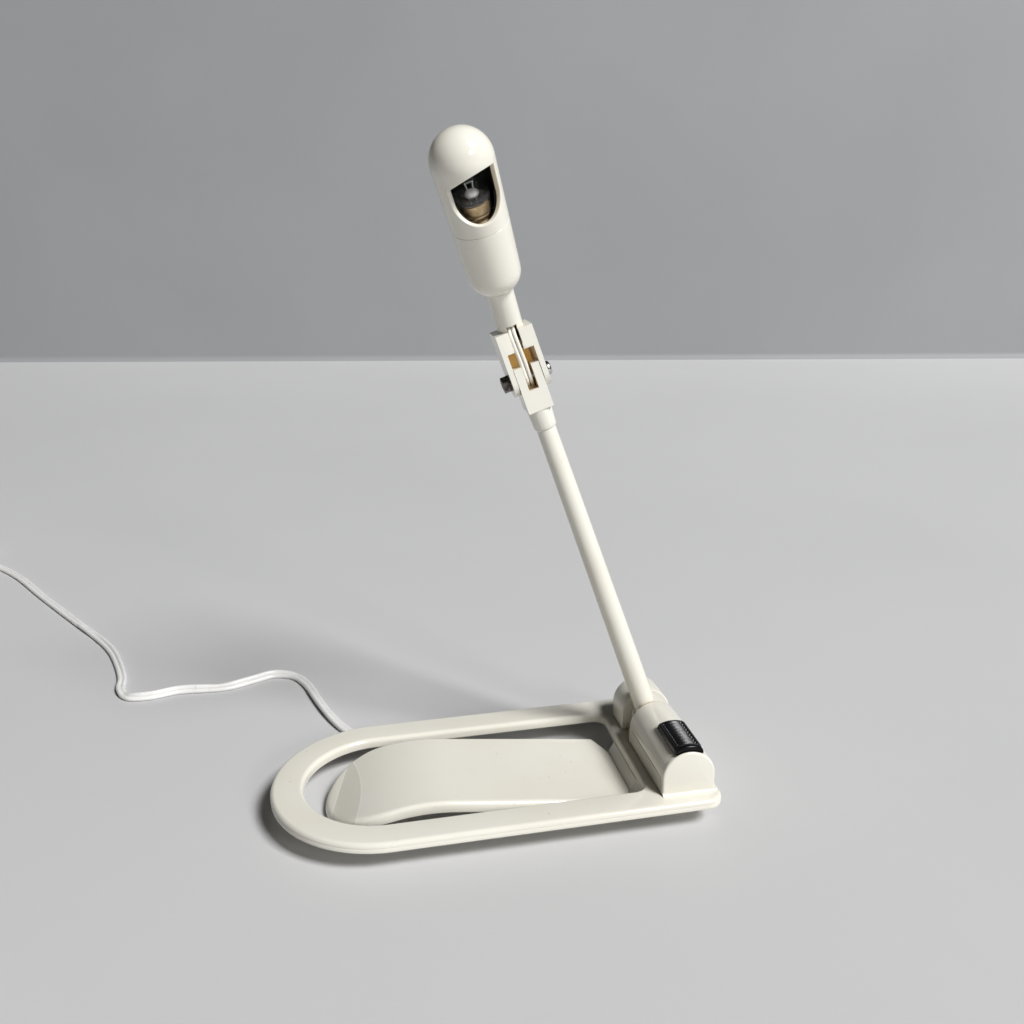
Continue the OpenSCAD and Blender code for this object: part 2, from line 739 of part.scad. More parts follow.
// Arm hub: drum on the hinge bolt, shield behind the arm and spigot in the tube
module arm_hub() {
    color("ivory") on_arm() difference() {
        union() {
            translate([0, hub_w / 2, 0]) rotate([90, 0, 0]) linear_extrude(hub_w) {
                circle(hub_r);
                sector(housing_r - 0.3, 0, shield_angle);
            }
        }
        rotate([90, 0, 0]) cylinder(h = slot_w, r = bolt_d / 2 + pin_clear, center = true);
        translate([0, 0, tube_foot]) cylinder(h = housing_r, r = tube_foot_r);
        translate([-5.4, -2.2, -hub_r - 1]) cube([3, 4.4, hub_r + tube_foot + 1]);
        translate([-5.4, -2.2, bolt_d / 2 + 0.8]) cube([7.4, 4.4, tube_foot]);
    }
}

// Arm tube: long tapered tube, its foot in the hub and its top in the elbow's collar
module arm_tube() {
    color("ivory") on_arm() difference() {
        union() {
            translate([0, 0, tube_foot])
                cylinder(h = collar_low - tube_foot, r1 = tube_foot_r, r2 = tube_top_r);
            translate([0, 0, collar_low]) cylinder(h = tube_top - collar_low, r = tube_top_r);
        }
        translate([0, 0, tube_foot - 1]) cylinder(h = tube_top - tube_foot + 2, r = tube_bore_r);
    }
}

// Arm leads: the two lamp leads inside the arm
module arm_leads() {
    color("white") on_arm() for (s = [-1, 1])
        translate([0, s * lead_y, tube_foot - 1])
            cylinder(h = block_top - lead_slot_h - tube_foot + 1, r = lead_d / 2);
}

// Elbow block: block that the yoke turns on, round at its back, with a collar over the arm tube
module elbow_block() {
    half = block_w / 2;
    color("ivory") on_arm() difference() {
        union() {
            translate([-half, -half, block_low]) cube([block_w, half, block_h]);
            translate([-half, 0, block_low]) cube([block_w, half, elbow_reach - block_low]);
            translate([0, 0, elbow_reach]) along_x(-half, half, half);
            translate([0, 0, collar_low + 0.6])
                cylinder(h = collar_l - 0.6, r1 = collar_r - 0.4, r2 = collar_r);
            translate([0, 0, collar_low]) cylinder(h = 0.6, r1 = collar_r - 0.8, r2 = collar_r - 0.4);
        }
        translate([0, 0, collar_low - join]) cylinder(h = tube_top - collar_low + join, r = tube_top_r);
        translate([0, 0, collar_low])
            cylinder(h = block_top - lead_slot_h + join - collar_low, r = lead_slot_w / 2);
        translate([-lead_slot_w / 2, -block_w, block_top - lead_slot_h])
            cube([lead_slot_w, block_w + slot_back, lead_slot_h + join]);
        translate([0, 0, elbow_reach]) along_x(-block_w, block_w, screw_d / 2 + pin_clear);
    }
}

// Elbow leads: the two leads that cross the elbow in front of its screw
module elbow_leads() {
    low = block_head - lead_slot_h;
    color("white") on_elbow() for (s = [-1, 1])
        swept(curve([[s * lead_y, 0, low], [s * lead_y, 0, low + 0.5], [s * lead_y, 0, low + 1],
                     [s * lead_y, -1.7, low + 2.4], [s * lead_y, -3.2, low + 4.4],
                     [s * lead_y, -3.7, block_head + 1], [s * lead_y - 0.3, -lead_front, crotch_h],
                     [s * lead_y - 0.5, -lead_front, yoke_h - 3.4],
                     [s * lead_y - 0.3, -lead_front + 0.4, yoke_h - 0.6],
                     [s * lead_y, -2.9, yoke_h + 1.4], [s * lead_y, -1.4, yoke_h + 2.8]], 3),
              lead_d / 2, lead_d / 2, cord_sides, [1, 0, 0]);
}

// Yoke seen along the elbow screw: a round end on a straight plate
module ear_side() {
    translate([yoke_mid, 0]) circle(yoke_d / 2);
    translate([yoke_mid - yoke_d / 2, 0]) square([yoke_d, yoke_h]);
}

// Elbow yoke: two ears with a web at the back, a bridge and a neck that leans forward
module elbow_yoke() {
    front = yoke_mid - yoke_d / 2;
    back = yoke_mid + yoke_d / 2;
    color("ivory") difference() {
        union() {
            on_elbow() {
                for (x = [-ear_out, ear_in]) translate([x, 0, 0]) rotate([90, 0, 90])
                    linear_extrude(ear_t) ear_side();
                translate([-ear_out, front, crotch_h]) cube([2 * ear_out, yoke_d, yoke_h - crotch_h]);
                translate([-ear_out, back - web_t, web_low]) cube([2 * ear_out, web_t, yoke_h - web_low]);
            }
            on_neck() translate([0, 0, -4]) cylinder(h = neck_l + 4, r = neck_r);
        }
        on_elbow() {
            along_x(-2 * ear_out, 2 * ear_out, screw_d / 2 + pin_clear);
            translate([-lead_slot_w / 2 - 0.4, front - join, crotch_h - join])
                cube([lead_slot_w, groove_d + join, yoke_h - crotch_h + 2 * join]);
        }
        on_neck() {
            translate([0, 0, -3]) cylinder(h = neck_l + 4, r = neck_bore_r);
            translate([-lead_slot_w / 2 - 0.2, -yoke_d, -3]) cube([lead_slot_w, yoke_d, 6.9]);
        }
    }
}

// Head leads: the two leads inside the neck, up to the lamp holder
module head_leads() {
    color("white") on_neck() for (s = [-1, 1])
        translate([s * lead_y, 0, 3.4]) cylinder(h = neck_l - neck_sink + contact_z - 5, r = lead_d / 2);
}

// Elbow screw: pan head on the right, end through the nut on the left
module elbow_screw() {
    color("silver") on_elbow() difference() {
        union() {
            along_x(-ear_out - elbow_washer_t - elbow_nut_t - 1, ear_out, screw_d / 2);
            along_x(ear_out, ear_out + elbow_head_t, screw_head_d / 2);
        }
        translate([ear_out + elbow_head_t - 0.9, -screw_head_d, -0.4]) cube([1, 2 * screw_head_d, 0.8]);
    }
}

// Elbow washer: between the nut and the left ear
module elbow_washer() {
    color("dimgray") on_elbow() difference() {
        along_x(-ear_out - elbow_washer_t, -ear_out, elbow_nut_r);
        along_x(-2 * ear_out, 0, screw_d / 2);
    }
}

// Elbow nut: dark hexagon on the left
module elbow_nut() {
    color("dimgray") on_elbow() difference() {
        translate([-ear_out - elbow_washer_t - elbow_nut_t, 0, 0]) rotate([0, 90, 0])
            cylinder(h = elbow_nut_t, r = elbow_nut_r, $fn = 6);
        along_x(-2 * ear_out, 0, screw_d / 2);
    }
}

// Half section of the tapered capsule, drawn in by a wall
module capsule_section(wall) {
    low_r = cup_round_r - wall;
    top_r = dome_r - wall;
    intersection() {
        union() {
            polygon([[0, wall], [round_x, wall],
                     [round_x + low_r * cos(head_taper), cup_round_r - low_r * sin(head_taper)],
                     [top_r * cos(head_taper), dome_z - top_r * sin(head_taper)],
                     [0, dome_z - top_r * sin(head_taper)]]);
            translate([round_x, cup_round_r]) circle(low_r);
            translate([0, dome_z]) circle(top_r);
        }
        square([2 * dome_r, head_l]);
    }
}

// Lamp cup: lower half of the head, seated on the neck, with a straight bore for the shade's lip
module lamp_cup() {
    color("ivory") on_head() difference() {
        rotate_extrude() difference() {
            intersection() {
                capsule_section(0);
                square([dome_r, seam_h]);
            }
            capsule_section(head_wall);
            translate([0, seam_h - lip_l]) square([lip_bore_r, lip_l + join]);
        }
        translate([0, 0, -join]) cylinder(h = neck_sink + join, r = neck_r);
        translate([0, 0, -join]) cylinder(h = 3 * head_wall, r = neck_bore_r);
    }
}

// Lamp holder: insulating cup inside the lamp cup, on a short foot
module lamp_holder() {
    color("linen") on_head() difference() {
        union() {
            translate([0, 0, holder_low]) cylinder(h = seam_h - lip_l - holder_low, r = holder_r);
            translate([0, 0, foot_low]) cylinder(h = holder_low - foot_low + join, r = foot_r);
        }
        translate([0, 0, contact_z - 1]) cylinder(h = seam_h, r = cap_r + pin_clear + shell_t);
        cylinder(h = seam_h, r = neck_bore_r);
    }
}

// Holder shell: thin brass sleeve that the bulb's cap screws into
module holder_shell() {
    color("goldenrod") on_head() translate([0, 0, cap_low]) difference() {
        cylinder(h = seam_h - cap_low + 1.8, r = cap_r + pin_clear + shell_t);
        translate([0, 0, -join]) cylinder(h = seam_h, r = cap_r + pin_clear);
    }
}

// Centre contact: sprung brass disc under the bulb
module centre_contact() {
    color("goldenrod") on_head() translate([0, 0, contact_z - 1]) cylinder(h = 1, r = neck_bore_r + 1);
}

// Bulb cap: brass screw cap with its rolled thread as rings
module bulb_cap() {
    ring_r = 0.55;
    pitch = 2.4;
    color("burlywood") on_head() translate([0, 0, cap_low]) difference() {
        rotate_extrude() {
            square([cap_r - 0.45, cap_l]);
            for (i = [0:4]) translate([cap_r - ring_r, 1.2 + i * pitch]) circle(ring_r);
            translate([0, cap_l - 3]) square([cap_r, 3]);
        }
        translate([0, 0, 1.5]) cylinder(h = cap_l, r = cap_r - 1.2);
        translate([0, 0, cap_l - cap_seat - 0.1]) cylinder(h = cap_l, r = cap_r - 0.35);
    }
}

// Bulb base: dark insulator with the solder tip
module bulb_base() {
    color("dimgray") on_head() translate([0, 0, cap_low]) {
        translate([0, 0, -base_h]) cylinder(h = base_h, r1 = 2.4, r2 = cap_r - 1);
        translate([0, 0, -base_h - tip_h]) cylinder(h = tip_h, r1 = 1.4, r2 = 2);
    }
}

// Half section of the bulb's glass, drawn in by a wall
module glass_section(wall) {
    intersection() {
        union() {
            translate([0, glass_z]) circle(glass_r - wall);
            translate([0, cap_top - 4]) square([cap_r - 1.4 - wall, 4 + glass_z - cap_top]);
        }
        translate([0, cap_top - 4]) square([glass_r, 4 + glass_z - cap_top + glass_r]);
    }
}

// Bulb glass: round bulb, its neck in the cap
module bulb_glass() {
    color("slategray", 0.5) on_head() rotate_extrude() difference() {
        intersection() {
            glass_section(0);
            union() {
                translate([0, cap_top - cap_seat]) square([glass_r, 3 * glass_r]);
                translate([0, cap_top - 4]) square([cap_r - 1.4, 5]);
            }
        }
        glass_section(glass_wall);
    }
}

// Bulb filament: glass bead on two support wires, with the filament across them
module bulb_filament() {
    wire_r = 0.25;
    bead_r = 2.1;
    bead_half = 1.5;
    color("lightgray") on_head() {
        for (s = [-1, 1]) translate([s * 1.1, 0, cap_low + 1.5])
            cylinder(h = glass_z + 2.6 - cap_low - 1.5, r = wire_r);
        translate([0, 0, glass_z - bead_half]) rotate_extrude() intersection() {
            circle(bead_r);
            translate([0, -bead_half]) square([bead_r, 2 * bead_half]);
        }
        translate([0, 0, glass_z + 2.8]) along_x(-1.5, 1.5, 0.4);
    }
}

// Solid that opens the shade to one side: round at its lower end, with sides that run in to the
// head's axis and a sloped plane for a brow
module window_cut(half, low, top) {
    out = 3 * dome_r;
    side = out * tan(window_half_angle);
    rotate([0, 0, window_turn]) intersection() {
        rotate([90, 0, 0]) linear_extrude(2 * dome_r) {
            translate([0, low + half]) circle(half);
            translate([-half, low + half]) square([2 * half, head_l]);
        }
        linear_extrude(2 * head_l) polygon([[0, 0], [-side, -out], [side, -out]]);
        translate([0, 0, top]) rotate([0, 0, brow_turn]) rotate([-brow_slope, 0, 0])
            translate([-out, -out, -2 * head_l]) cube([2 * out, 2 * out, 2 * head_l]);
    }
}

// Lamp shade: domed upper half of the head, turning on a lip inside the cup
module lamp_shade() {
    color("ivory") on_head() difference() {
        rotate_extrude() {
            difference() {
                intersection() {
                    capsule_section(0);
                    translate([0, seam_h + seam_gap]) square([dome_r, head_l]);
                }
                capsule_section(head_wall);
            }
            translate([holder_r, seam_h - lip_l + sit_gap]) square([lip_r - holder_r, lip_l + 2]);
            translate([holder_r, seam_h + seam_gap]) square([seam_r - holder_r - join, 2]);
        }
        window_cut(window_w / 2, seam_h + window_low, seam_h + window_top);
    }
}

// Shade liner: dark metal sleeve inside the shade, open at the window
module shade_liner() {
    low = seam_h + 2 + seam_gap;
    color("dimgray") on_head() difference() {
        translate([0, 0, low]) cylinder(h = dome_z - low, r = lip_r - sit_gap);
        translate([0, 0, low - join]) cylinder(h = head_l, r = lip_r - sit_gap - liner_t);
        window_cut(window_w / 2 - 0.8, seam_h + window_low + 1, seam_h + window_top + 1);
    }
}

// Cord run: the free stretch of flat cord, from the bush to the coil
module cord_run() {
    color("white") swept(curve(cord_route, 2), cord_w / 2, cord_t / 2, cord_sides, [0, 0, 1]);
}

// Radius and height of the coil after t turns: in along the lower layer, out along the upper one
function climb(t) = min(max((t - layer_turns) / 0.5, 0), 1);
function coil_radius(t) = t < layer_turns + 0.25
    ? max(coil_r - coil_pitch * t, coil_in_r) - coil_dip * sin(180 * climb(t))
    : max(coil_in_r + coil_pitch * (t - layer_turns - 0.5), coil_in_r) - coil_dip * sin(180 * climb(t));
function coil_height(t) =
    coil_low_z + layer_pitch * climb(t) * climb(t) * (3 - 2 * climb(t));

// Ring of the coiled cord: the flat cord stands on edge, shifted along its own heading
function coil_ring(t, shift) =
    let (a = 360 * t, r = coil_radius(t), c = [coil_at[0], coil_at[1], coil_height(t)])
    [for (k = [0:coil_sides - 1])
        c + (r + cord_t / 2 * sin(360 * k / coil_sides)) * [cos(a), sin(a), 0]
          + cord_w / 2 * cos(360 * k / coil_sides) * [0, 0, 1] + shift * [-sin(a), cos(a), 0]];

// Least gap between turns, from points one or more whole turns apart
coil_steps = coil_rings * coil_turns;
function turn_gap(i, j) = max(
    abs(coil_radius(i / coil_rings) - coil_radius(j / coil_rings)) - cord_t * cos(30),
    abs(coil_height(i / coil_rings) - coil_height(j / coil_rings)) - cord_w);
coil_gap = min([for (i = [0:coil_steps]) for (j = [i + coil_rings:coil_rings:coil_steps]) turn_gap(i, j)]);

// Cord coil: the stored length in two layers, one unbroken tube with straight ends
module cord_coil() {
    echo(least_gap_between_turns = coil_gap);
    rings = [coil_ring(0, -cord_w), for (i = [0:coil_steps]) coil_ring(i / coil_rings, 0),
             coil_ring(coil_turns, coil_tail)];
    color("white") polyhedron(points = [for (r = rings) each r], faces = tube_faces(len(rings), coil_sides));
}

// Coil tie: band round the coil's turns
module coil_tie() {
    low = coil_in_r - coil_dip - cord_t / 2 - 0.2;
    high = coil_r + cord_t / 2 + 0.2;
    top = coil_high_z + cord_w / 2 + 0.1;
    color("black") translate([coil_at[0], coil_at[1], 0]) rotate([0, 0, 100]) difference() {
        translate([low - tie_t, -tie_w / 2, 0]) cube([high - low + 2 * tie_t, tie_w, top + tie_t]);
        translate([low, -tie_w, tie_t]) cube([high - low, 2 * tie_w, top - tie_t]);
    }
}

// Frame of the plug: Y along the pins, origin where the cord enters its tail
module on_plug() {
    end_turn = 360 * coil_turns;
    translate([coil_at[0], coil_at[1], plug_z]) rotate([0, 0, end_turn])
        translate([coil_r, coil_tail, 0]) children();
}

// Plug body: flat moulded body with a tapered tail
module plug_body() {
    corner = 5;
    color("white") on_plug() {
        translate([0, 0, 0]) rotate([-90, 0, 0]) cylinder(h = tail_l, r1 = 3, r2 = 5.5);
        translate([0, tail_l - join, -plug_z + 0.2]) linear_extrude(2 * plug_z - 0.4) {
            translate([-plug_w / 2 + corner, 0]) square([plug_w - 2 * corner, plug_l]);
            translate([-plug_w / 2, corner]) square([plug_w, plug_l - corner]);
            for (s = [-1, 1]) translate([s * (plug_w / 2 - corner), corner]) circle(corner);
        }
    }
}

// Plug pins: two round pins in the plug's front face
module plug_pins() {
    color("silver") on_plug() for (s = [-1, 1])
        translate([s * plug_pin_gap / 2, tail_l - join + plug_l, 0]) rotate([-90, 0, 0]) {
            cylinder(h = plug_pin_l - 1, r = plug_pin_d / 2);
            translate([0, 0, plug_pin_l - 1]) cylinder(h = 1, r1 = plug_pin_d / 2, r2 = plug_pin_d / 2 - 0.6);
        }
}

clip_frame();
switch_cover();
tray();
tray_screws();
switch_slider();
switch_body();
switch_contacts();
cord_bush();
inner_leads();
lead_joint();
hinge_bolt();
hinge_nut();
friction_washers();
clip_tongue();
arm_hub();
arm_tube();
arm_leads();
elbow_block();
elbow_leads();
elbow_yoke();
head_leads();
elbow_screw();
elbow_washer();
elbow_nut();
lamp_cup();
lamp_holder();
holder_shell();
centre_contact();
bulb_cap();
bulb_base();
bulb_glass();
bulb_filament();
lamp_shade();
shade_liner();
cord_run();
cord_coil();
coil_tie();
plug_body();
plug_pins();
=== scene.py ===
import math

import bmesh
import bpy
import numpy as np
from mathutils import Matrix


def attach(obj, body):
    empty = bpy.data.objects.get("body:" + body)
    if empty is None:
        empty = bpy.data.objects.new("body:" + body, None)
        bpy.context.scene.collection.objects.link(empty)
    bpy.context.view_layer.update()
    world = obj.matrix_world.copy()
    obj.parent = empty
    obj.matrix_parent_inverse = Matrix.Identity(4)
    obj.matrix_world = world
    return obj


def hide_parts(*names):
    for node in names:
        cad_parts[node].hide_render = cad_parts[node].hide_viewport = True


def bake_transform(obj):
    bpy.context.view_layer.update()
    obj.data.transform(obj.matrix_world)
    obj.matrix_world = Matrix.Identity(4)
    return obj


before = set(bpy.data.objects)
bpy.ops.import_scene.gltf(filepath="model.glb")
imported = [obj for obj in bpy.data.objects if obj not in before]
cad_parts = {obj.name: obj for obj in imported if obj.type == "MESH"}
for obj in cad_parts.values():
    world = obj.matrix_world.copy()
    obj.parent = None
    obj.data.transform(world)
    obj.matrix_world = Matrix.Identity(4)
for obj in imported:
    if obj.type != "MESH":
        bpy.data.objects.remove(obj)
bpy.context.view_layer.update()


# The table and the wall behind it: one sheet with matt paint, pale grey on the table and darker
# on the wall, bent up in a small cove. The camera stands in front, a little to the left, and two
# soft boxes stand far off in front on the right: a large one high up and a small one lower down.

MM = 0.001


class Wire:
    """One socket in a node tree. Sums, products and powers of wires add Math nodes."""

    def __init__(self, tree, socket=None):
        self.tree = tree
        self.socket = socket

    def feed(self, socket, value):
        """Links a wire to a socket, or sets the socket's own value."""
        if isinstance(value, Wire):
            self.tree.links.new(value.socket, socket)
        else:
            socket.default_value = value

    def node(self, kind, settings=None, sockets=None, out=0):
        """Adds a node: its settings first, then the values or wires of its sockets."""
        made = self.tree.nodes.new(kind)
        for key, value in (settings or {}).items():
            setattr(made, key, value)
        for key, value in (sockets or {}).items():
            self.feed(made.inputs[key], value)
        return Wire(self.tree, made.outputs[out])

    def maths(self, operation, first, second):
        return self.node("ShaderNodeMath", {"operation": operation}, {0: first, 1: second})

    def __add__(self, other):
        return self.maths("ADD", self, other)

    __radd__ = __add__

    def __sub__(self, other):
        return self.maths("SUBTRACT", self, other)

    def __rsub__(self, other):
        return self.maths("SUBTRACT", other, self)

    def __mul__(self, other):
        return self.maths("MULTIPLY", self, other)

    __rmul__ = __mul__

    def __pow__(self, other):
        return self.maths("POWER", self, other)

    def under(self, limit):
        """1 where the wire is less than the limit, and 0 elsewhere."""
        return self.maths("LESS_THAN", self, limit)

    def over(self, limit):
        """1 where the wire is more than the limit, and 0 elsewhere."""
        return self.maths("GREATER_THAN", self, limit)

    def place(self):
        """The point on the piece, in metres."""
        return self.node("ShaderNodeTexCoord", out="Object")

    def along(self, direction, start):
        """Distance of the point from a start along a direction, in millimetres."""
        ends = {0: self.place(), 1: tuple(np.asarray(start) * MM)}
        way = self.node("ShaderNodeVectorMath", {"operation": "SUBTRACT"}, ends)
        metres = self.node("ShaderNodeVectorMath", {"operation": "DOT_PRODUCT"},
                           {0: way, 1: tuple(direction)}, "Value")
        return metres * (1 / MM)

    def cloud(self, size, detail=3.0, rough=0.5):
        """Soft noise from 0 to 1 whose blots are about size metres across."""
        return self.node("ShaderNodeTexNoise", {}, {"Vector": self.place(), "Scale": 1.0 / size,
                                                    "Detail": detail, "Roughness": rough}, "Fac")

    def ramp(self, low, high):
        """0 below low, 1 above high, and a soft step between them."""
        return self.node("ShaderNodeMapRange", {"interpolation_type": "SMOOTHSTEP"},
                         {"Value": self, "From Min": low, "From Max": high})

    def tint(self, first, second):
        """The first colour where the wire is 0, turning to the second where it is 1."""
        colours = {0: self, 6: first, 7: second}
        return self.node("ShaderNodeMix", {"data_type": "RGBA"}, colours, 2)

    def bump(self, depth):
        """A dent or swelling of the surface, depth metres high where the wire is 1."""
        return self.node("ShaderNodeBump", {}, {"Height": self, "Distance": depth})


def finish_of(name):
    """A new material and the wire that its nodes are added through."""
    material = bpy.data.materials.new(name)
    material.use_nodes = True
    return material, Wire(material.node_tree)


def coat(material, sockets):
    """Feeds the material's surface shader."""
    shader = material.node_tree.nodes["Principled BSDF"]
    for key, value in sockets.items():
        Wire(material.node_tree).feed(shader.inputs[key], value)
    return material


def stand(name, data, axes, at):
    """Puts a camera or a lamp in the scene, with its three axes, at a point."""
    made = bpy.data.objects.new(name, data)
    matrix = np.eye(4)
    matrix[:3, :4] = np.column_stack([*axes, at])
    made.matrix_world = Matrix(matrix.tolist())
    bpy.context.scene.collection.objects.link(made)
    return made


def unit(vector):
    """The direction of each vector, with a length of 1."""
    return vector / np.linalg.norm(vector, axis=-1, keepdims=True)


YAW, PITCH, ROLL = np.radians([11.448, 18.192, -0.802])
CAMERA_AT = np.array([-0.06368, -0.37546, 0.24717])
ahead = np.array([np.sin(YAW), np.cos(YAW), 0.0])
aside = np.array([np.cos(YAW), -np.sin(YAW), 0.0])
upright = np.array([0.0, 0.0, 1.0])
look = ahead * np.cos(PITCH) - upright * np.sin(PITCH)
level_up = np.cross(aside, look)
right = np.cos(ROLL) * aside + np.sin(ROLL) * level_up
up = np.cos(ROLL) * level_up - np.sin(ROLL) * aside
camera = bpy.data.cameras.new("camera")
camera.sensor_width = 36.0
camera.lens = 37.364
camera.clip_start = 0.01
bpy.context.scene.camera = stand("camera", camera, (right, up, -look), CAMERA_AT)


def coords(*values):
    """Values side by side as the coordinates of points."""
    return np.stack(np.broadcast_arrays(*values), axis=-1)


def joined(*parts):
    """Lists of points one after another."""
    return np.concatenate(parts)


WALL_LEFT, WALL_RIGHT = np.array([-0.456, 1.167, 0.0]), np.array([0.853, 0.823, 0.0])
REACH, WALL_H, COVE_R = 4.0, 0.52, 0.008
TABLE_GREY, TABLE_SHADE = (0.60, 0.60, 0.601, 1), (0.58, 0.58, 0.582, 1)
WALL_GREY, WALL_SHADE = (0.345, 0.35, 0.358, 1), (0.325, 0.33, 0.338, 1)
along_wall = unit(WALL_RIGHT - WALL_LEFT)
from_wall = np.cross(along_wall, upright)
cove = np.radians(np.linspace(0, 90, 12))
bend = COVE_R * coords(1 - np.sin(cove), 1 - np.cos(cove))
sheet = joined([[REACH, 0.0]], bend, [[0.0, WALL_H]])
edges = [WALL_LEFT + along_wall * end + sheet[:, :1] * from_wall + sheet[:, 1:] * upright
         for end in (-REACH, REACH)]
count = len(sheet)
quads = [(row, row + count, row + count + 1, row + 1) for row in range(count - 1)]
sheet_mesh = bpy.data.meshes.new("backdrop")
sheet_mesh.from_pydata(np.concatenate(edges), [], quads)
sheet_mesh.shade_smooth()
paint, paint_wire = finish_of("backdrop_paint")
clouds = paint_wire.cloud(0.3, 4.0).ramp(0.3, 0.75)
rise = paint_wire.node("ShaderNodeSeparateXYZ", {}, {0: paint_wire.place()}, "Z").ramp(0.0, 0.1 * COVE_R)
table_paint, wall_paint = clouds.tint(TABLE_GREY, TABLE_SHADE), clouds.tint(WALL_GREY, WALL_SHADE)
coat(paint, {"Base Color": rise.tint(table_paint, wall_paint),
             "Roughness": 0.62 + 0.1 * paint_wire.cloud(0.03),
             "Normal": paint_wire.cloud(0.0016).bump(0.00003)})
sheet_mesh.materials.append(paint)
backdrop = bpy.data.objects.new("backdrop", sheet_mesh)
bpy.context.scene.collection.objects.link(backdrop)


def soft_box(name, at, towards, size, power):
    """A square lamp with a cloth front, turned to face a point."""
    lamp = bpy.data.lights.new(name, "AREA")
    lamp.size = size
    lamp.energy = power
    back = unit(np.subtract(at, towards))
    side = unit(np.cross(upright, back))
    stand(name, lamp, (side, np.cross(back, side), back), at)


LIT = (0.0, 0.0, 0.08)
soft_box("key_box", (3.30, -4.22, 6.02), LIT, size=2.2, power=768.0)
soft_box("front_box", (3.06, -6.58, 3.46), LIT, size=1.2, power=100.0)
room = bpy.data.worlds.new("room")
room.use_nodes = True
glow = room.node_tree.nodes["Background"].inputs
glow["Color"].default_value = (1.0, 0.97, 0.92, 1.0)
glow["Strength"].default_value = 0.012
bpy.context.scene.world = room
bpy.context.scene.view_settings.view_transform = "Standard"


# The clip frame: an open frame with a half-round end, a crossbar and the walls of the
# hinge housing, one moulding in ivory plastic. Its top edges are well rounded.

def arc(centre, radius, start, stop, count):
    """Points on a circle from one angle to another, in degrees, the last one left out."""
    turn = np.radians(np.linspace(start, stop, count, endpoint=False))
    return coords(centre[0] + radius * np.cos(turn), centre[1] + radius * np.sin(turn))


def line(start, stop, count):
    """Evenly spaced points on a straight line, the last one left out."""
    return np.linspace(start, stop, count, endpoint=False)


def inset(outline, distance):
    """Draws a closed outline in: each point goes along the mitre of its two edges' normals."""
    edge = unit(np.roll(outline, -1, axis=0) - outline)
    normal = coords(-edge[:, 1], edge[:, 0])
    before = np.roll(normal, 1, axis=0)
    mitre = (before + normal) / (1.0 + (before * normal).sum(axis=1, keepdims=True))
    return outline + distance * mitre


def rounding(radius, count=6):
    """Quarter circle from a wall to a flat: how far in and how far below the flat."""
    turn = np.linspace(0.0, np.pi / 2, count)
    return coords(radius * (1 - np.cos(turn)), radius * (1 - np.sin(turn)))


def level(outline, height):
    """An outline laid at a height."""
    return np.column_stack([outline, np.full(len(outline), height)])


def slab(outline, low, high, low_edge=0.0, high_edge=0.0):
    """An outline carried from low to high, drawn in along a quarter circle at a rounded edge."""
    steps = [(0.0, low)] if not low_edge else [(i, low + d) for i, d in rounding(low_edge)[::-1]]
    steps += [(0.0, high)] if not high_edge else [(i, high - d) for i, d in rounding(high_edge)]
    return np.stack([level(inset(outline, i), z) for i, z in steps])


def skin(rings, closed=False, ends=(True, True)):
    """Points and faces of a skin over rings: quads between neighbours, and one face on each end."""
    count, around = rings.shape[:2]
    rows = np.arange(count if closed else count - 1)[:, None]
    this = np.arange(around)[None, :]
    after = (this + 1) % around
    above = (rows + 1) % count
    quads = coords(rows * around + this, rows * around + after,
                   above * around + after, above * around + this).reshape(-1, 4)
    faces = quads.tolist()
    if not closed and ends[0]:
        faces.append(np.arange(around)[::-1].tolist())
    if not closed and ends[1]:
        faces.append((np.arange(around) + (count - 1) * around).tolist())
    return rings.reshape(-1, 3), faces


def put_in(name, mesh, finish, body, nodes, crease):
    """Gives a mesh its finish and its sharp edges, and puts it in the scene on a body."""
    mesh.shade_smooth()
    mesh.set_sharp_from_angle(angle=math.radians(crease))
    mesh.materials.clear()
    mesh.materials.append(finish)
    made = bpy.data.objects.new(name, mesh)
    bpy.context.scene.collection.objects.link(made)
    if body:
        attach(made, body)
    if nodes:
        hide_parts(*nodes)
    return made


def piece(name, shells, finish, body, nodes=(), crease=40.0):
    """Joins skins, in millimetres, into one piece in metres, closed and facing outwards."""
    starts = np.cumsum([0] + [len(points) for points, faces in shells])
    faces = [[corner + start for corner in face]
             for start, (points, own) in zip(starts, shells) for face in own]
    mesh = bpy.data.meshes.new(name)
    mesh.from_pydata(np.concatenate([points for points, own in shells]) * MM, [], faces)
    work = bmesh.new()
    work.from_mesh(mesh)
    bmesh.ops.remove_doubles(work, verts=work.verts, dist=1e-6)
    bmesh.ops.recalc_face_normals(work, faces=work.faces)
    work.to_mesh(mesh)
    work.free()
    return put_in(name, mesh, finish, body, nodes, crease)


def toned(colour, shares):
    """A colour with its red, green and blue multiplied by one share or by three."""
    return tuple(np.multiply(colour[:3], shares)) + (1.0,)


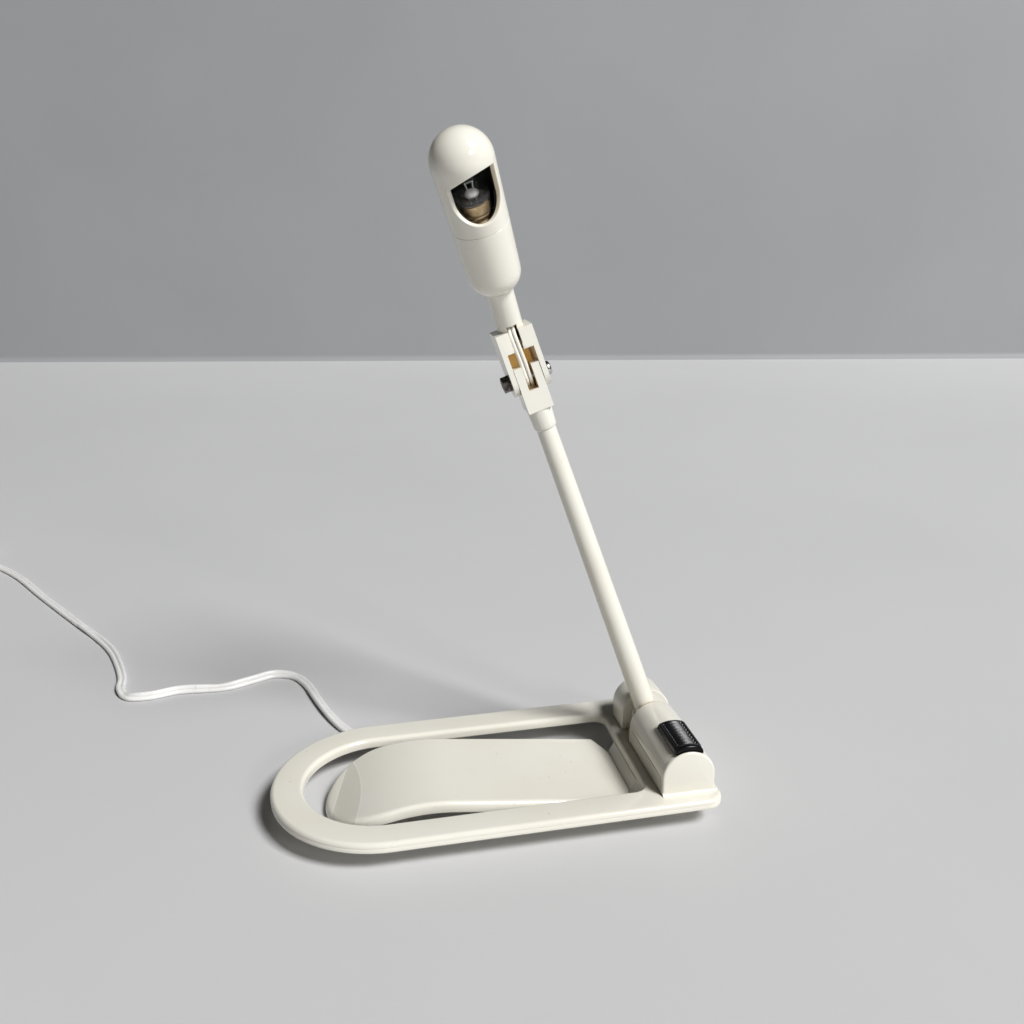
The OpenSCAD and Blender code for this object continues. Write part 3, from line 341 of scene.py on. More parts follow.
def moulded_plastic(name, light, dark, rough, shade=(0.45, 0.95), shade_tone=(0.60, 0.44, 0.22)):
    """Moulded plastic: two close tones in clouds, faint hairline scuffs, a few specks of dust,
    a painted warm shade where the faces shade each other, and the slight waviness of a moulded face."""
    material, wire = finish_of(name)
    tone = wire.cloud(0.035, 4.0).ramp(0.3, 0.75).tint(light, dark)
    hair = wire.node("ShaderNodeTexVoronoi", {"feature": "DISTANCE_TO_EDGE"},
                     {"Vector": wire.place(), "Scale": 60.0, "Randomness": 1.0}, "Distance")
    scuff = hair.under(0.006) * wire.cloud(0.012, 2.0).ramp(0.55, 0.75)
    speck = wire.node("ShaderNodeTexVoronoi", {}, {"Vector": wire.place(), "Scale": 260.0}, "Distance")
    dust = speck.under(0.085) * wire.cloud(0.02, 1.0).ramp(0.58, 0.66)
    # Painted shade: the colour turns to a darker, warmer tone where nearby faces hide the surface.
    hollow = wire.node("ShaderNodeAmbientOcclusion", {"samples": 8}, {"Distance": 0.007}, "AO")
    painted_shade = (1.0 - hollow).ramp(*shade)
    grey = toned(dark, 0.45)
    dusty = (dust * 0.5).tint((scuff * 0.12).tint(tone, grey), grey)
    waves = wire.cloud(0.006, 2.0) * 0.85 + wire.cloud(0.0007, 2.0) * 0.15
    return coat(material, {"Base Color": painted_shade.tint(dusty, toned(dark, shade_tone)),
                           "Roughness": rough + 0.12 * scuff + 0.06 * wire.cloud(0.01),
                           "Normal": waves.bump(0.00001)})


IVORY, IVORY_SHADE = (0.80, 0.78, 0.70, 1.0), (0.77, 0.74, 0.65, 1.0)
ivory = moulded_plastic("ivory_moulding", IVORY, IVORY_SHADE, 0.08)

FRAME_L, FRAME_W, RAIL_W, BAR_W = 173.0, 88.0, 13.0, 28.0
FRAME_LOW, FRAME_TOP = 9.0, 13.2
CORNER_R, OPENING_R, TOP_EDGE, LOW_EDGE = 7.0, 5.0, 1.8, 0.6


def frame_outline(half, end_x, far_x, corner):
    """Half-round end, straight rails and two rounded corners, anticlockwise from the far rail."""
    return joined(
        arc((end_x, 0), half, 90, 270, 96),
        line((end_x, -half), (far_x - corner, -half), 24),
        arc((far_x - corner, -half + corner), corner, -90, 0, 16),
        line((far_x, -half + corner), (far_x, half - corner), 16),
        arc((far_x - corner, half - corner), corner, 0, 90, 16),
        line((far_x - corner, half), (end_x, half), 24))


end_x = -FRAME_L / 2 + FRAME_W / 2
outer = frame_outline(FRAME_W / 2, end_x, FRAME_L / 2, CORNER_R)
opening = frame_outline(FRAME_W / 2 - RAIL_W, end_x, FRAME_L / 2 - BAR_W, OPENING_R)
PARTING = [(0.0, 11.0), (0.08, 11.1), (0.08, 11.2), (0.0, 11.3)]
low_round, top_round = rounding(LOW_EDGE), rounding(TOP_EDGE, 9)
rail = [(outer, i, FRAME_LOW + d) for i, d in low_round[::-1]]
rail += [(outer, i, z) for i, z in PARTING]
rail += [(outer, i, FRAME_TOP - d) for i, d in top_round]
rail += [(opening, -i, FRAME_TOP - d) for i, d in top_round[::-1]]
rail += [(opening, -i, FRAME_LOW + d) for i, d in low_round]
frame_skin = skin(np.stack([level(inset(outline, i), z) for outline, i, z in rail]), closed=True)

HINGE = np.array([73.3, 10.0, 20.3])
HOUSING_R, HOUSING_RISE, FOOT_R, SINK = 10.7, 7.1, 1.5, 2.0
SEAM, BROKEN_EDGE, COVER_WALL = 0.22, 0.18, 1.8
COVER_IN = HOUSING_R - COVER_WALL
NEAR_END, COVER_NEAR, SLOT_NEAR, SLOT_FAR, EAR_END = -37.5, -34.5, 4.9, 15.1, 29.1


def frame_at(origin, axes):
    """A function that takes points from a frame with an origin and three axes to the part's."""
    return lambda rings: origin + rings @ axes


# Shapes are drawn with their height along Z. This order of axes lays the height along Y.
UP_ALONG_Y = [0, 2, 1]
along_hinge = frame_at(HINGE * (1.0, 0.0, 1.0), np.eye(3)[UP_ALONG_Y])


def across_hinge(outline, near, far, near_edge=0.0, far_edge=0.0):
    """Skin of an outline about the hinge axis, carried along it from near to far."""
    return skin(along_hinge(slab(outline, near, far, near_edge, far_edge)))


WALL_FOOT = -HOUSING_RISE - SINK
housing_outline = joined(
    line((-HOUSING_R, WALL_FOOT), (HOUSING_R + FOOT_R, WALL_FOOT), 12),
    line((HOUSING_R + FOOT_R, WALL_FOOT), (HOUSING_R + FOOT_R, WALL_FOOT + SINK), 2),
    arc((HOUSING_R + FOOT_R, FOOT_R - HOUSING_RISE), FOOT_R, 270, 180, 8),
    line((HOUSING_R, FOOT_R - HOUSING_RISE), (HOUSING_R, 0), 8),
    arc((0, 0), HOUSING_R, 0, 180, 48), line((-HOUSING_R, 0), (-HOUSING_R, WALL_FOOT), 10))


def polygon(corners, counts):
    """A closed outline through corners, with a count of points on each side."""
    sides = zip(corners, corners[1:] + corners[:1], counts)
    return np.concatenate([line(start, stop, count) for start, stop, count in sides])


def wall_outline(x0, x1, top):
    """A plain upright wall on the frame, its top corners broken."""
    side = top - BROKEN_EDGE
    return polygon([(x0, WALL_FOOT), (x1, WALL_FOOT), (x1, side), (x1 - BROKEN_EDGE, top),
                    (x0 + BROKEN_EDGE, top), (x0, side)], (2, 4, 2, 2, 2, 4))


BEARING_TOP, BEARING_T, OVERLAP = 3.0, 3.0, 0.1
housing = [
    across_hinge(housing_outline, NEAR_END, COVER_NEAR, 0.9, 0.25),
    across_hinge(housing_outline, SLOT_FAR, EAR_END, 0.5, 0.9),
    across_hinge(wall_outline(-HOUSING_R, -COVER_IN, -SEAM), COVER_NEAR - 0.5, SLOT_NEAR, 0.0, 0.3),
    across_hinge(wall_outline(COVER_IN, HOUSING_R, -SEAM), COVER_NEAR - 0.5, SLOT_FAR + 0.6),
    across_hinge(wall_outline(-COVER_IN - OVERLAP, COVER_IN + OVERLAP, BEARING_TOP),
                 SLOT_NEAR - BEARING_T, SLOT_NEAR - 0.05)]
FILLET_R, ROOT = 1.3, 0.5
hollow_foot = joined(
    arc((NEAR_END - FILLET_R, FRAME_TOP + FILLET_R), FILLET_R, 0, -90, 10),
    [[NEAR_END - FILLET_R, FRAME_TOP], [NEAR_END - FILLET_R, FRAME_TOP - ROOT],
     [NEAR_END + ROOT, FRAME_TOP - ROOT], [NEAR_END + ROOT, FRAME_TOP + FILLET_R]])
foot_x = np.linspace(HINGE[0] - HOUSING_R + 0.1, HINGE[0] + HOUSING_R + 0.5 * FOOT_R, 9)
housing.append(skin(np.stack([level(hollow_foot, x)[:, [2, 0, 1]] for x in foot_x])))
piece("clip_frame_moulding", [frame_skin] + housing, ivory, "base", ["clip_frame"])


# The switch cover: a half-round shell in the same plastic, snapped between the housing's end
# wall and its bearing wall, with a seam at the height of the hinge axis.

cover_edge = HOUSING_R - BROKEN_EDGE
cover = joined(
    arc((0, 0), HOUSING_R, 1, 179, 64), line((-HOUSING_R, BROKEN_EDGE), (-cover_edge, 0), 2),
    line((-cover_edge, 0), (-COVER_IN, 0), 3), arc((0, 0), COVER_IN, 180, 0, 48),
    line((COVER_IN, 0), (cover_edge, 0), 3), line((cover_edge, 0), (HOUSING_R, BROKEN_EDGE), 2))
piece("switch_cover_shell", [across_hinge(cover, COVER_NEAR + 0.05, SLOT_NEAR, 0.2, 0.7)],
      ivory, "base", ["switch_cover"])


# The slider of the switch: a black grip, ribbed across between two smooth rims and plain at its
# near end, moulded in one with the stem that reaches through the cover.

SLIDER_NEAR, SLIDER_L, SLIDER_W, SLIDER_IN, SLIDER_OUT = -36.9, 21.4, 11.2, 10.9, 13.2
RIB_COUNT, RIB_PITCH, RIB_DEPTH, RIB_END, RIM_W, RIM_SLOPE = 9, 2.0, 0.9, 1.2, 1.3, 0.6
GRIP_EDGE, GRIP_END = 0.7, 0.8


def grip_section(reach, drawn_in, depth):
    """Section of the grip across its slide: a hollow foot on the cover, upright sides, rounded
    corners and an arched top at a reach from the hinge, lowered by a depth between its rims."""
    half = SLIDER_W / 2 - drawn_in
    x = np.linspace(half, -half, 41)
    from_side = half - np.abs(x)
    corner = GRIP_EDGE - np.sqrt(GRIP_EDGE ** 2 - (GRIP_EDGE - np.minimum(from_side, GRIP_EDGE)) ** 2)
    into_ribs = np.clip((from_side - RIM_W) / RIM_SLOPE, 0, 1)
    top = np.sqrt(reach ** 2 - x ** 2) - corner - depth * into_ribs ** 2 * (3 - 2 * into_ribs)
    foot_x = np.linspace(-half, half, 21)
    foot = np.sqrt(SLIDER_IN ** 2 - foot_x ** 2)
    return joined(coords(foot_x, foot), coords(x, np.maximum(top, foot[0])))


end_round = rounding(GRIP_END).tolist()
grip = [(grip_section(SLIDER_OUT - d, i, 0.0), SLIDER_NEAR + i) for i, d in [(0.35, 1.5)] + end_round]
rib_start = SLIDER_NEAR + SLIDER_L - RIB_END - RIB_COUNT * RIB_PITCH
for step in np.linspace(0, RIB_COUNT, 16 * RIB_COUNT + 1):
    groove = RIB_DEPTH * (0.5 - 0.5 * np.cos(2 * np.pi * step)) ** 0.7
    grip.append((grip_section(SLIDER_OUT, 0.0, groove), rib_start + step * RIB_PITCH))
grip += [(grip_section(SLIDER_OUT - d, i, 0.0), SLIDER_NEAR + SLIDER_L - i) for i, d in end_round[::-1]]
grip = np.stack([level(section, y) for section, y in grip])
black = moulded_plastic("black_grip", (0.004, 0.004, 0.0045, 1.0), (0.007, 0.007, 0.008, 1.0), 0.14)
coat(black, {"Specular IOR Level": 0.14})
piece("switch_grip", [skin(along_hinge(grip))], black, "slider", ["switch_slider"], 50.0)


# The tongue: a springy leaf inside the frame, one moulding with a rolled edge, clipped at its
# root below the crossbar. It arches over and comes down to the table at its tip, which has a
# painted lens-shaped reflection of the frame's rounded end.

TIP_X, ROOT_X, LEAF_HALF = -65.5, 55.8, 25.0
CREST_X, CREST_Z, CREST_R, LEAF_SLOPE = -26.5, 14.8, 73.0, np.radians(7.5)
LEAF_SKIN, LEAF_DEPTH, LEAF_ROLL = 2.2, 4.5, 1.7
SHOULDER_X, ROOT_NEAR, ROOT_FAR = 51.1, -17.5, 13.0


def leaf_top(x):
    """Height of the leaf: an arc about its crest, then a straight slope that goes on from it."""
    run = CREST_X + CREST_R * np.sin(LEAF_SLOPE)
    arch = CREST_Z - CREST_R + np.sqrt(CREST_R ** 2 - np.minimum(x - CREST_X, 40.0) ** 2)
    knee = CREST_Z - CREST_R + CREST_R * np.cos(LEAF_SLOPE)
    return np.where(x < run, arch, knee - (x - run) * np.tan(LEAF_SLOPE))


def leaf_ring(share, wall, drop):
    """One loop on the leaf: a share of its half width, drawn in by a wall and lowered by a drop.
    The tip is part of a circle, the sides are straight and the root narrows to the tray."""
    turn = np.radians(90 * np.linspace(0, 1, 56) ** 1.6)
    tip = LEAF_HALF - wall
    x = joined(TIP_X + LEAF_HALF - tip * np.cos(turn),
               np.linspace(TIP_X + LEAF_HALF + 2, SHOULDER_X, 60),
               np.linspace(SHOULDER_X + 0.5, ROOT_X, 6))
    half = joined(tip * np.sin(turn), np.full(66, tip))
    narrow = np.clip((x - SHOULDER_X) / (ROOT_X - SHOULDER_X), 0, 1)
    near = -half + narrow * (ROOT_NEAR + LEAF_HALF)
    far = half - narrow * (LEAF_HALF - ROOT_FAR)
    middle = (near + far) / 2
    loop_x = joined(x[::-1], x[1:])
    loop_y = joined((middle + (near - middle) * share)[::-1], (middle + (far - middle) * share)[1:])
    from_tip = TIP_X + LEAF_HALF - loop_x
    edge = tip - np.where(from_tip > 0, np.hypot(from_tip, loop_y), np.abs(loop_y))
    edge = np.where(loop_x > SHOULDER_X, LEAF_HALF * (1 - share), edge)
    if drop is None:
        drop = LEAF_ROLL - np.sqrt(LEAF_ROLL ** 2 - (LEAF_ROLL - np.clip(edge, 0, LEAF_ROLL)) ** 2)
    return coords(loop_x, loop_y, np.maximum(leaf_top(loop_x) - drop, 0.0))


leaf = [leaf_ring(share, 0.0, None) for share in np.sin(np.linspace(0, np.pi / 2, 34))]
leaf += [leaf_ring(1.0, 0.0, LEAF_DEPTH - 0.4), leaf_ring(1.0, 0.25, LEAF_DEPTH)]
leaf += [leaf_ring(1.0, LEAF_SKIN, LEAF_DEPTH), leaf_ring(1.0, LEAF_SKIN, LEAF_SKIN)]
leaf += [leaf_ring(share, LEAF_SKIN, LEAF_SKIN) for share in (0.7, 0.35, 0.0)]


def base_colour(material):
    """The wire that feeds a material's base colour."""
    shader = material.node_tree.nodes["Principled BSDF"]
    return Wire(material.node_tree, shader.inputs["Base Color"].links[0].from_socket)


REFLECTION_AT, REFLECTION_R, REFLECTION_BACK, REFLECTION_TURN = (-126.6, 3.0, 0.0), 76.1, (-59.2, 5.7, 0.0), (0.953, -0.273, 0.0)
REFLECTION_BRIGHT = (0.86, 0.85, 0.80, 1.0)
# Painted reflection: a darker lens edged by bright lines on the leaf's tip, for the frame's end mirrored in
# it.
reflecting_leaf = ivory.copy()
reflecting_leaf.name = "ivory_leaf"
leaf_wire = Wire(reflecting_leaf.node_tree)
from_x = leaf_wire.along((1.0, 0.0, 0.0), REFLECTION_AT)
from_y = leaf_wire.along((0.0, 1.0, 0.0), REFLECTION_AT)
ring = (from_x * from_x + from_y * from_y) ** 0.5 - REFLECTION_R
back = leaf_wire.along(REFLECTION_TURN, REFLECTION_BACK)
front_line = ring.ramp(-0.7, -0.25) * (1.0 - ring.ramp(-0.1, 0.1))
back_line = back.ramp(-0.5, -0.2) * (1.0 - back.ramp(0.0, 0.2)) * (1.0 - ring.over(0.0))
between = back.ramp(-0.1, 0.3) * (1.0 - ring.ramp(-0.3, 0.0))
lens_darkened = (between * 0.6).tint(base_colour(reflecting_leaf), toned(IVORY_SHADE, 0.84))
coat(reflecting_leaf, {"Base Color": ((front_line + back_line) * 0.85).tint(lens_darkened, REFLECTION_BRIGHT)})
piece("clip_leaf", [skin(np.stack(leaf), ends=(False, False))], reflecting_leaf, "tongue",
      ["clip_tongue"], 50.0)


# The tray below the crossbar, screwed up from below, and the moulded hub that turns on the
# hinge bolt: plain mouldings whose sharp corners are broken as a mould leaves them.

def softened(name, node, finish, body, width, crease=32.0, wide=None):
    """A copy of a machined shape with its corners broken: doubles merged, flats joined, edges
    sharper than the crease rounded by a width, and by four times that where wide says so."""
    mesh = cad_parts[node].data.copy()
    mesh.name = name
    work = bmesh.new()
    work.from_mesh(mesh)
    bmesh.ops.remove_doubles(work, verts=work.verts, dist=2e-6)
    bmesh.ops.dissolve_limit(work, angle_limit=math.radians(0.6), verts=work.verts, edges=work.edges)
    share = work.edges.layers.float.new("bevel_weight_edge")
    for edge in work.edges:
        if edge.calc_face_angle(0.0) > math.radians(crease):
            whole = wide and all(wide(np.array(end.co) / MM) for end in edge.verts)
            edge[share] = 1.0 if whole else 0.25
    work.to_mesh(mesh)
    work.free()
    made = put_in(name, mesh, finish, body, [node], crease)
    bevel = made.modifiers.new("corners", "BEVEL")
    bevel.width = 4 * width * MM
    bevel.segments = 3
    bevel.limit_method = "WEIGHT"
    bevel.harden_normals = False


softened("switch_tray", "tray", ivory, "base", 0.35)
softened("hinge_hub", "arm_hub", ivory, "arm", 0.3)


# The arm: a long tapered tube in the same plastic, its foot glued in the hub and its top in the
# collar of the elbow block. Its own frame has Z along the arm from the hinge.

LEAN = np.radians(19.1)
ARM_AXES = np.array([[np.cos(LEAN), 0, np.sin(LEAN)], [0, 1, 0], [-np.sin(LEAN), 0, np.cos(LEAN)]])


def turned(profile, count):
    """A shape of revolution: each point of the profile, radius and height, goes round the axis."""
    profile = np.asarray(profile, float)
    turn = np.linspace(0, 2 * np.pi, count, endpoint=False)
    return coords(profile[:, :1] * np.cos(turn), profile[:, :1] * np.sin(turn), profile[:, 1:])


def spun(profile, put, count=64, closed=False):
    """Skin of a shape of revolution, put in place. A profile that is not closed ends on the axis."""
    return skin(put(turned(profile, count)), closed, (False, False))


TUBE_FOOT, TUBE_TOP, TUBE_END = 5.5, 138.3, 144.7
TUBE_LOW_R, TUBE_TOP_R, TUBE_BORE = 4.7, 3.8, 2.7
on_arm = frame_at(HINGE, ARM_AXES)
tube_side = joined(
    [[TUBE_BORE, TUBE_FOOT]], np.linspace((TUBE_LOW_R, TUBE_FOOT), (TUBE_TOP_R, TUBE_TOP), 24),
    [[TUBE_TOP_R, TUBE_END], [TUBE_BORE, TUBE_END]])
piece("arm_tube_moulding", [spun(tube_side, on_arm, closed=True)],
      ivory, "arm", ["arm_tube"])


# The elbow: a slotted block with a collar on the tube, and a forked yoke with a neck that leans
# forward. The two are held by a pan-head screw on the right and a dark nut on the left.

ELBOW = on_arm((0.0, 0.0, 159.6))
EAR_OUT, EAR_EDGE = 7.2, 7.0
on_elbow = frame_at(ELBOW, ARM_AXES)
HOLLOW_SHADE_AMBER, PAINTED_GLOW, NO_PAINTED_GLOW = (0.62, 0.42, 0.15, 1.0), (0.20, 0.11, 0.025, 1.0), (0.0, 0.0, 0.0, 1.0)


def ivory_with_painted_hollow(name, half_width, deep):
    """Ivory plastic with painted amber shade in the elbow's hollow: within a half width of the arm's
    axis, from the front to a depth behind it. A painted glow on the web at the bottom of the hollow stands
    in for light through it."""
    material = moulded_plastic(name, IVORY, IVORY_SHADE, 0.1)
    wire = Wire(material.node_tree)
    sideways, inwards, upwards = (wire.along(axis, ELBOW) for axis in ARM_AXES)
    hollow = (sideways * sideways).under(half_width ** 2) * upwards.over(-10.5) * upwards.under(14.0)
    hollow = hollow * inwards.ramp(-4.6, -2.6) * (1.0 - inwards.ramp(deep, deep + 0.2))
    # Painted shade and painted light: the hollow is tinted amber, and the web at its back glows faintly.
    return coat(material, {"Base Color": (hollow * 0.85).tint(base_colour(material), HOLLOW_SHADE_AMBER),
                           "Emission Color": (hollow * inwards.ramp(4.6, 5.2)).tint(NO_PAINTED_GLOW, PAINTED_GLOW),
                           "Emission Strength": 1.0})


softened("elbow_block_moulding", "elbow_block", ivory_with_painted_hollow("ivory_block", 2.2, 3.3),
         "arm", 0.35)
softened("elbow_yoke_moulding", "elbow_yoke", ivory_with_painted_hollow("ivory_yoke", 4.6, 5.5),
         "head", 0.38, wide=lambda point: (point - ELBOW) @ ARM_AXES[0] < -EAR_EDGE)


def bare_metal(name, light, dark, rough, grain):
    """Metal: two tones in fine clouds, turned or rolled marks as small differences in gloss."""
    material, wire = finish_of(name)
    tone = wire.cloud(0.0015, 5.0).ramp(0.3, 0.7).tint(light, dark)
    marks = wire.cloud(grain, 4.0, 0.7)
    return coat(material, {"Base Color": tone, "Metallic": 1.0, "Roughness": rough + 0.25 * marks,
                           "Normal": marks.bump(0.000012)})


steel = bare_metal("bright_steel", (0.72, 0.71, 0.69, 1), (0.52, 0.50, 0.47, 1), 0.12, 0.0004)
dark_steel = bare_metal("oxidised_steel", (0.17, 0.15, 0.135, 1), (0.06, 0.052, 0.047, 1), 0.27, 0.0005)


def dressed(finish, *nodes):
    """Puts a finish on machined pieces whose shape stays as it is."""
    for node in nodes:
        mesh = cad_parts[node].data
        mesh.materials.clear()
        mesh.materials.append(finish)


# Turned pieces on the elbow screw have their height along X, to the right.
UP_ALONG_X = [1, 2, 0]
on_screw = frame_at(ELBOW, ARM_AXES[UP_ALONG_X])
SCREW_R, SCREW_IN, SCREW_END, POINT_R = 1.5, -9.0, -10.35, 1.1
HEAD_R, HEAD_T, HEAD_RIM, HEAD_CROWN = 2.8, 2.0, 0.8, 0.9
crown = np.radians(np.linspace(0, 90, 8))[1:]
rim_top = EAR_OUT + HEAD_RIM
pan = [(0, SCREW_IN), (SCREW_R, SCREW_IN), (SCREW_R, EAR_OUT), (HEAD_R, EAR_OUT), (HEAD_R, rim_top)]
pan += [(HEAD_R - HEAD_CROWN * (1 - np.cos(turn)), rim_top + (HEAD_T - HEAD_RIM) * np.sin(turn))
        for turn in crown] + [(0, EAR_OUT + HEAD_T)]
screw_end = [(0, SCREW_END), (POINT_R, SCREW_END), (SCREW_R, SCREW_END + 0.25), (SCREW_R, SCREW_IN + 0.1),
             (0, SCREW_IN + 0.1)]
piece("elbow_pan_screw", [spun(pan, on_screw, 48)], steel, "head", ["elbow_screw"])
piece("elbow_screw_end", [spun(screw_end, on_screw, 48)], dark_steel, "head")
dressed(dark_steel, "elbow_washer")
softened("elbow_hexagon_nut", "elbow_nut", dark_steel, "head", 0.25, 25.0)


# The leads: two thin wires in white PVC from the switch through the arm, across the front of the
# elbow in the open, and through the neck to the lamp holder. The neck's frame has Z along it.

def smooth(points, steps):
    """A smooth curve through points: each stretch is a cubic of its two ends and their neighbours."""
    points = np.asarray(points, float)
    before = joined(points[:1], points[:-2])
    after = joined(points[2:], points[-1:])
    here, there = points[:-1], points[1:]
    t = np.linspace(0, 1, steps, endpoint=False)[None, :, None]
    a, b, c, d = before[:, None], here[:, None], there[:, None], after[:, None]
    curve = 0.5 * (2 * b + (c - a) * t + (2 * a - 5 * b + 4 * c - d) * t ** 2
                   + (3 * b - a - 3 * c + d) * t ** 3)
    return joined(curve.reshape(-1, 3), points[-1:])


def carried(path, section, ref, roll=0.0):
    """A section carried along a path: its first axis lies square to the path and a reference
    direction, and both axes are turned about the path by the roll."""
    along = unit(np.gradient(path, axis=0))
    side = unit(np.cross(along, ref))
    rise = np.cross(side, along)
    roll = np.broadcast_to(roll, (len(path),))[:, None]
    first = np.cos(roll) * side + np.sin(roll) * rise
    second = np.cos(roll) * rise - np.sin(roll) * side
    return (path[:, None] + section[None, :, :1] * first[:, None]
            + section[None, :, 1:] * second[:, None])


SMUDGE, GROOVE_SHADE = (0.42, 0.40, 0.36, 1.0), (0.40, 0.39, 0.36, 1.0)


def white_pvc(name, light, dark, rough):
    """Soft PVC: warm white, a little yellow in clouds, with smudges, painted shade where it is grooved
    and a faint drawn grain."""
    material, wire = finish_of(name)
    tone = wire.cloud(0.02, 4.0).ramp(0.35, 0.75).tint(light, dark)
    smudge = wire.cloud(0.006, 5.0, 0.7).ramp(0.58, 0.75)
    # Painted shade: grey in the colour where nearby faces hide the surface, as in the groove between the
    # cores.
    open_sky = wire.node("ShaderNodeAmbientOcclusion", {"samples": 8, "only_local": True},
                         {"Distance": 0.0015}, "AO")
    groove_shade = (1.0 - open_sky).ramp(0.25, 0.7) * 0.7
    return coat(material, {"Base Color": groove_shade.tint((smudge * 0.4).tint(tone, SMUDGE), GROOVE_SHADE),
                           "Roughness": rough + 0.15 * smudge,
                           "Normal": wire.cloud(0.0008, 3.0).bump(0.00003)})


lead_pvc = white_pvc("ivory_pvc_lead", (0.84, 0.815, 0.745, 1.0), (0.80, 0.765, 0.68, 1.0), 0.3)
LEAD_R, LEAD_Y, LEAD_LOW = 0.75, 0.8, -4.4
lead_round = arc((0, 0), LEAD_R, 0, 360, 16)
NECK_LEAN = np.radians(22.0)
NECK_AXES = np.array([[1, 0, 0], [0, np.cos(NECK_LEAN), np.sin(NECK_LEAN)],
                      [0, -np.sin(NECK_LEAN), np.cos(NECK_LEAN)]]) @ ARM_AXES
NECK = on_elbow((0.0, 0.8, 19.0))
on_neck = frame_at(NECK, NECK_AXES)

TAG_Y, TAG_Z, LEAD_X, LEAD_TOP = -9.25, 6.3, 71.7, 12.8
TO_END = np.array([1.2, 0.6, 0.0])
tray_routes = [
    [(63, 9.4, 4.5), (63, 7.4, 4.5), (63, 5.4, 4.5), (65.5, -1, 4.5), (69.9, TAG_Y + 5, 5.6)]
    + [(70.7, TAG_Y + e, TAG_Z) for e in TO_END],
    [(65, 9.4, 4.5), (65, 8.4, 4.5), (65, 7.4, 4.5), (68, 2.4, 4.2)]
    + [(72 - e, 0.95, 4.2) for e in TO_END],
    [(72 - e, -0.95, 4.2) for e in TO_END[::-1]]
    + [(69.2, -0.4, 5.2), (69.6, 3, 6.8), (70.8, 7, 7.6), (LEAD_X, 9.05, 10), (LEAD_X, 9.05, LEAD_TOP)],
    [(75.9, TAG_Y + e, TAG_Z) for e in TO_END[::-1]]
    + [(75.9, TAG_Y + 5, 7), (75, 2, 7.6), (72.6, 8.8, 8), (LEAD_X, 10.95, 10.4),
       (LEAD_X, 10.95, LEAD_TOP)]]
piece("tray_leads", [skin(carried(smooth(route, 6), lead_round, (0.6, -0.5, 0.6)))
                     for route in tray_routes], lead_pvc, "base", ["inner_leads"])


def straight_lead(start, length, put, ref):
    """Skin of a lead that runs straight up from a start in a frame."""
    path = start + np.linspace(0, 1, 40)[:, None] * (0, 0, length)
    return skin(carried(put(path), lead_round, ref))


piece("arm_pair", [straight_lead((0, s * LEAD_Y, 4.5), 150.7, on_arm, ARM_AXES[0]) for s in (-1, 1)],
      lead_pvc, "arm", ["arm_leads"])
piece("neck_pair", [straight_lead((s * LEAD_Y, 0, 3.4), 26.4, on_neck, NECK_AXES[0]) for s in (-1, 1)],
      lead_pvc, "head", ["head_leads"])


def elbow_route(side):
    """One lead over the elbow: out of the block's slot, up its front and into the neck."""
    y = side * LEAD_Y
    return [(y, 0, LEAD_LOW), (y, 0, LEAD_LOW + 0.5), (y, 0, LEAD_LOW + 1),
            (y - 0.2, -1.7, LEAD_LOW + 2.4), (y - 0.4, -3.2, LEAD_LOW + 4.4), (y - 0.5, -3.7, 6.1),
            (y - 0.7, -4.2, 11.2), (y - 0.85, -4.4, 15.6), (y - 0.7, -3.8, 18.4),
            (y - 0.3, -2.9, 20.4), (y, -1.4, 21.8)]


over_elbow = [carried(smooth(elbow_route(s), 10), lead_round, (1.0, 0, 0)) for s in (-1, 1)]
elbow_pair = piece("elbow_pair", [skin(on_elbow(way)) for way in over_elbow], lead_pvc, None,
                   ["elbow_leads"])
tuple(on_elbow((0.0, -2.0, -3.4)) * MM)
tuple(on_elbow((0.0, -4.0, 10.0)) * MM)
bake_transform(elbow_pair)


# The lamp cup: the lower half of the capsule head, glued on the neck, with a plain bore for the
# shade's lip. Inside it sit the holder, its plated sleeve and the sprung contact.

HEAD = on_neck((0.0, 0.0, 17.0))
DOME_R, HEAD_L, HEAD_WALL, ROUND_R, SEAM_H = 11.0, 61.5, 1.8, 8.0, 27.0
TAPER = np.radians(1.75)
DOME_Z = HEAD_L - DOME_R
ROUND_X = (DOME_R - ROUND_R - (DOME_Z - ROUND_R) * np.sin(TAPER)) / np.cos(TAPER)
SEAM_R = (DOME_R - (DOME_Z - SEAM_H) * np.sin(TAPER)) / np.cos(TAPER)
on_head = frame_at(HEAD, NECK_AXES)


def capsule_low(wall, count=14):
    """The rounded lower corner of the capsule, drawn in by a wall, from its flat to its side."""
    turn = np.radians(np.linspace(-90, 0, count)) - np.linspace(0, 1, count) * TAPER
    radius = ROUND_R - wall
    return coords(ROUND_X + radius * np.cos(turn), ROUND_R + radius * np.sin(turn))


LIP_BORE, LIP_L, NECK_BORE, NECK_SEAT, SEAT_T = SEAM_R - HEAD_WALL + 0.1, 4.0, 2.6, 5.0, 0.6
cup_side = joined(
    [[NECK_BORE, SEAT_T], [NECK_SEAT, SEAT_T], [NECK_SEAT, 0.0]], capsule_low(0.0),
    np.linspace((SEAM_R - 0.45, SEAM_H - 15), (SEAM_R - 0.02, SEAM_H - 0.5), 8),
    [[SEAM_R - 0.03, SEAM_H - 0.1], [SEAM_R - 0.12, SEAM_H]],
    [[LIP_BORE, SEAM_H], [LIP_BORE, SEAM_H - LIP_L], [LIP_BORE - 0.4, SEAM_H - LIP_L]],
    capsule_low(HEAD_WALL)[::-1], [[NECK_BORE, HEAD_WALL]])
piece("lamp_cup_moulding", [spun(cup_side, on_head, 96, closed=True)],
      ivory, "head", ["lamp_cup"])


# The bulb: a round clear glass, smoked near its rolled brass screw cap, with a glass bead that
# holds two support wires and the filament.

